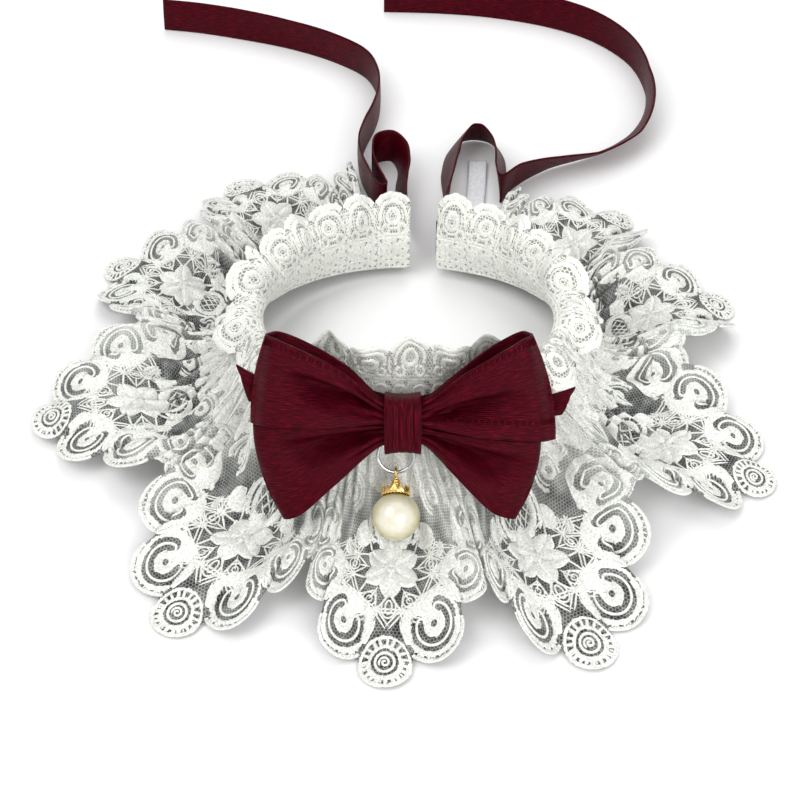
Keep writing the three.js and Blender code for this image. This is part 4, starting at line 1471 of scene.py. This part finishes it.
UPPER_LEAVES = [((1.5, 41.5), (4.5, 50), 1.3), ((5.5, 41), (12, 49), 1.5), ((10, 52), (4, 57), 1.0)]
COMMA = (17.2, 40.2)


def upper_depth(places):
    """The uneven ground near the seam, with openings in it."""
    a, b = places[..., 0], places[..., 1]
    openings = np.sin(0.85 * a + 1.4 * np.sin(0.31 * b)) * np.sin(0.62 * b + 0.9 * np.sin(0.43 * a))
    comma = disc(folded(places), COMMA, 5.4)
    return np.min([b - 40.6 - 1.2 * np.sin(0.5 * a), 56.6 - b, 0.62 - 0.9 * np.abs(openings), -comma], 0)


def draw_upper_part(chart, side):
    """Leaves, a comma scroll and fine threads between the lattice and the seam, on one side."""
    flip = np.array([side, 1])
    for root, tip, bulge in UPPER_LEAVES:
        draw_leaf_outline(chart, root * flip, tip * flip, bulge)
    comma = COMMA * flip
    start, end = (-30, 250) if side > 0 else (-70, 210)
    chart.radial(comma, 0.9, 2.5, pitch=0.6)
    chart.cord(arc(comma, 3.6, start, end, 1), 0.6, 0.32)
    chart.radial(comma, 4.2, 5.4, start, end, 0.6)
    for a in np.arange(0.8, 36.5, 1.5):
        low = 42.5 + 1.4 * math.sin(1.3 * a)
        near = abs(a - COMMA[0])
        if near < 6:
            low = COMMA[1] + math.sqrt(36 - near**2)
        b = low + np.linspace(0, 1, 6) * (57.6 - low)
        chart.cord(np.stack([side * (a + 0.5 * np.sin(0.22 * b + a)), b], -1), 0.4, 0.2)


FILL_PETALS = [
    ((18.2, 10.4), (14.8, 15.4), 2.4), ((4.6, 5.0), (3.0, 9.2), 1.9), ((13.6, 24.6), (16.2, 28.6), 2.2),
    ((31.6, 21.8), (33.6, 25.6), 1.8), ((20.2, 27.8), (21.6, 31.0), 2.2), ((25.6, 41.6), (29.6, 43.8), 2.0),
]


def lace_chart():
    """One repeat of the wide lace."""
    chart = Chart()
    draw_border(chart)
    for scroll in SCROLLS:
        draw_scroll(chart, *scroll)
    for root, tip, width in FILL_PETALS:
        chart.petal(root, tip, width, 0.5, 0.4)
    chart.pad(fill_depth, (0, -3), (REPEAT_PITCH / 2, 42))
    chart.mirrored()
    draw_rosette(chart)
    draw_flower(chart)
    chart.pad(crown_depth, (-16, 27), (16, 42))
    chart.pad(upper_depth, (-36.6, 39), (36.6, 57), 0.8)
    draw_trellis(chart)
    draw_lattice(chart)
    for side in (-1, 1):
        draw_upper_part(chart, side)
    return chart.mesh()


FRILL_RING = np.array([0, 14.2])
RISE = [[5.9, 17.0], [5.1, 15.2], [4.8, 13.2], [5.1, 11.4], [5.8, 10.0]]


def frill_depth(places):
    """The ground of the frill, with small openings, clear of the ring in its middle."""
    a, b = places[..., 0], places[..., 1]
    top = frill_scallop(np.cos(math.pi * a / FRILL_PITCH))
    openings = np.abs(np.sin(1.6 * a + 0.5) * np.sin(1.1 * b + 0.7 * np.sin(a)))
    return np.min([top - 1.2 - b, b + 2.8, 0.6 - 0.95 * openings, -disc(places, FRILL_RING, 5.2)], 0)


def frill_chart():
    """One scallop of the frill: a is across it, b is up from the seam."""
    chart = Chart()
    chart.ring(FRILL_RING, 0.95, 0.6, 0.4, 0.28)
    chart.radial(FRILL_RING, 1.2, 2.7, pitch=0.6, tall=0.36)
    chart.cord(arc(FRILL_RING, 3.35, -215, 35, 0.9), 0.6, 0.34)
    chart.radial(FRILL_RING, 3.8, 5.1, -15, 195, 0.65)
    for side in (-1, 1):
        chart.radial(FRILL_RING + [side * 2.9, -3.4], 0.7, 1.9, pitch=0.6, tall=0.32)
        chart.cord(np.array(RISE) * [side, 1], 0.6, 0.32)
        chart.radial((side * 2.95, 5.2), 1.0, 2.3, pitch=0.65, tall=0.28)
    a = np.linspace(-5.85, 5.85, 19)
    edge = np.stack([a, frill_scallop(np.cos(math.pi * a / FRILL_PITCH)) - 0.2], -1)
    chart.across(edge, -1.6, 0.2, 0.6, 0.34)
    for height, width in ((9.4, 0.6), (8.5, 0.45), (1.4, 0.55), (-2.2, 0.55)):
        chart.cord(line((-5.9, height), (5.9, height), 2.4), width, 0.28)
    chart.petal((0, 2.0), (0, 8.0), 1.9, 0.6, 0.3)
    chart.pad(frill_depth, (-5.9, -2.8), (5.8, 20), 0.65)
    return chart.mesh()


def laid_on(surface, x, y, z, step_x, step_y):
    """Points at height z above a surface, along its own normals."""
    base = surface(x, y)
    along = surface(x + step_x, y) - surface(x - step_x, y)
    across = surface(x, y + step_y) - surface(x, y - step_y)
    return base + unit(np.cross(across, along)) * z[..., None]


THREAD_ENDS = (0, 3, 5, 7, 9, 11)
STITCH_MARGIN = 0.004


def embroider_flounce():
    """The wide lace's stitches, in five pieces of two or three repeats."""
    points, faces = lace_chart()
    for number, repeats in enumerate(zip(THREAD_ENDS, THREAD_ENDS[1:])):
        laid = Chart()
        for k in range(*repeats):
            repeat = k + points[:, 0] / REPEAT_PITCH
            inside = (repeat > STRIP_START + STITCH_MARGIN) & (repeat < STRIP_END - STITCH_MARGIN)
            used, kept = np.unique(faces[inside[faces].all(1)], return_inverse=True)
            v = ROSETTE_REACH - points[used, 1]
            placed = laid_on(flounce_point, repeat[used], v, points[used, 2], 0.004, 0.25)
            laid.add(placed, kept.reshape(-1, 4))
        yield add_piece("flounce_thread_%d" % number, *laid.mesh(), THREAD, "lace")


def embroider_frill():
    """The frill's stitches on its inside, and at the front on its outside too."""
    points, faces = frill_chart()
    laid = Chart()
    for k in range(FRILL_LOBES):
        along = np.clip((k + 0.5 + points[:, 0] / FRILL_PITCH) / FRILL_LOBES, 0, 1)
        laid.add(laid_on(frill_point, along, points[:, 1], points[:, 2], 0.0004, 0.2), faces)
        if math.cos(math.radians(SEAM_START + SEAM_SWEEP * (k + 0.5) / FRILL_LOBES)) > 0.3:
            outside = laid_on(frill_point, along, points[:, 1], -points[:, 2], 0.0004, 0.2)
            laid.add(outside, faces[:, ::-1])
    return add_piece("frill_thread", *laid.mesh(), FRILL_THREAD, "lace")


# near and far end of each row of stitches, from the loop's top
PICOTS = {"bow_upper_left": ((0.5, 2.0),), "bow_upper_right": ((0.5, 2.0), (18.4, 19.6))}
PICOT_SPACING = 1.05


def make_picots(name, edges):
    """Short raised stitches along the woven edges of a loop's front."""
    _, grid, (width, length, _) = loops[name]
    rows, columns = grid.shape[:2]

    def surface(x, y):
        return between(grid, x / length * (rows - 1), y / width * (columns - 1))

    chart = Chart()
    along = np.arange(7, length / 2 - 2, PICOT_SPACING)
    for near, far in edges:
        chart.stitches(np.c_[along, 0 * along + near], np.c_[along, 0 * along + far], 0.5, 0.22, 0.08)
    points, faces = chart.mesh()
    side = np.sign(grid[rows // 3, 0, 0])
    height = side * points[:, 2] + side * LOOP_THICKNESS / 2
    placed = laid_on(surface, points[:, 0], points[:, 1], height, 0.3, 0.3)
    return add_piece(name + "_picots", placed, faces, SATIN, "satin")


picots = {name: make_picots(name, edges) for name, edges in PICOTS.items()}
flounce_threads = list(embroider_flounce())
frill_thread = embroider_frill()

# ---- cloth as it was cut

strip_widths = flounce_length(np.linspace(STRIP_START, STRIP_END, 1921))

# ---- floor, lights, world and bounds

FLOOR = -0.2 * MM  # just under the part, so the two faces don't meet


def make_floor():
    size = 1500 * MM
    corners = [(-size, -size, FLOOR), (size, -size, FLOOR), (size, size, FLOOR), (-size, size, FLOOR)]
    mesh = bpy.data.meshes.new("floor")
    mesh.from_pydata(corners, [], [(0, 1, 2, 3)])
    floor = bpy.data.objects.new("floor", mesh)
    bpy.context.scene.collection.objects.link(floor)
    mesh.materials.append(plain_material("floor", (246, 246, 246), (243, 243, 243), 6, Roughness=0.9))
    floor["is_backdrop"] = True


make_floor()
make_light("key", (-420, -260, 760), 640, 3.1)
make_light("fill", (300, -660, 400), 640, 3.5)
make_light("top", (60, 520, 780), 800, 2.4)

world = bpy.data.worlds.new("studio")
bpy.context.scene.world = world
world.use_nodes = True
background = world.node_tree.nodes["Background"].inputs
background["Color"].default_value = (1, 1, 1, 1)
background["Strength"].default_value = 0.64
bpy.context.scene.view_settings.view_transform = "Standard"

sizes = {"cad": CAD_BOX, "visual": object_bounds()}
{name: [[float(x) for x in corner] for corner in box] for name, box in sizes.items()}
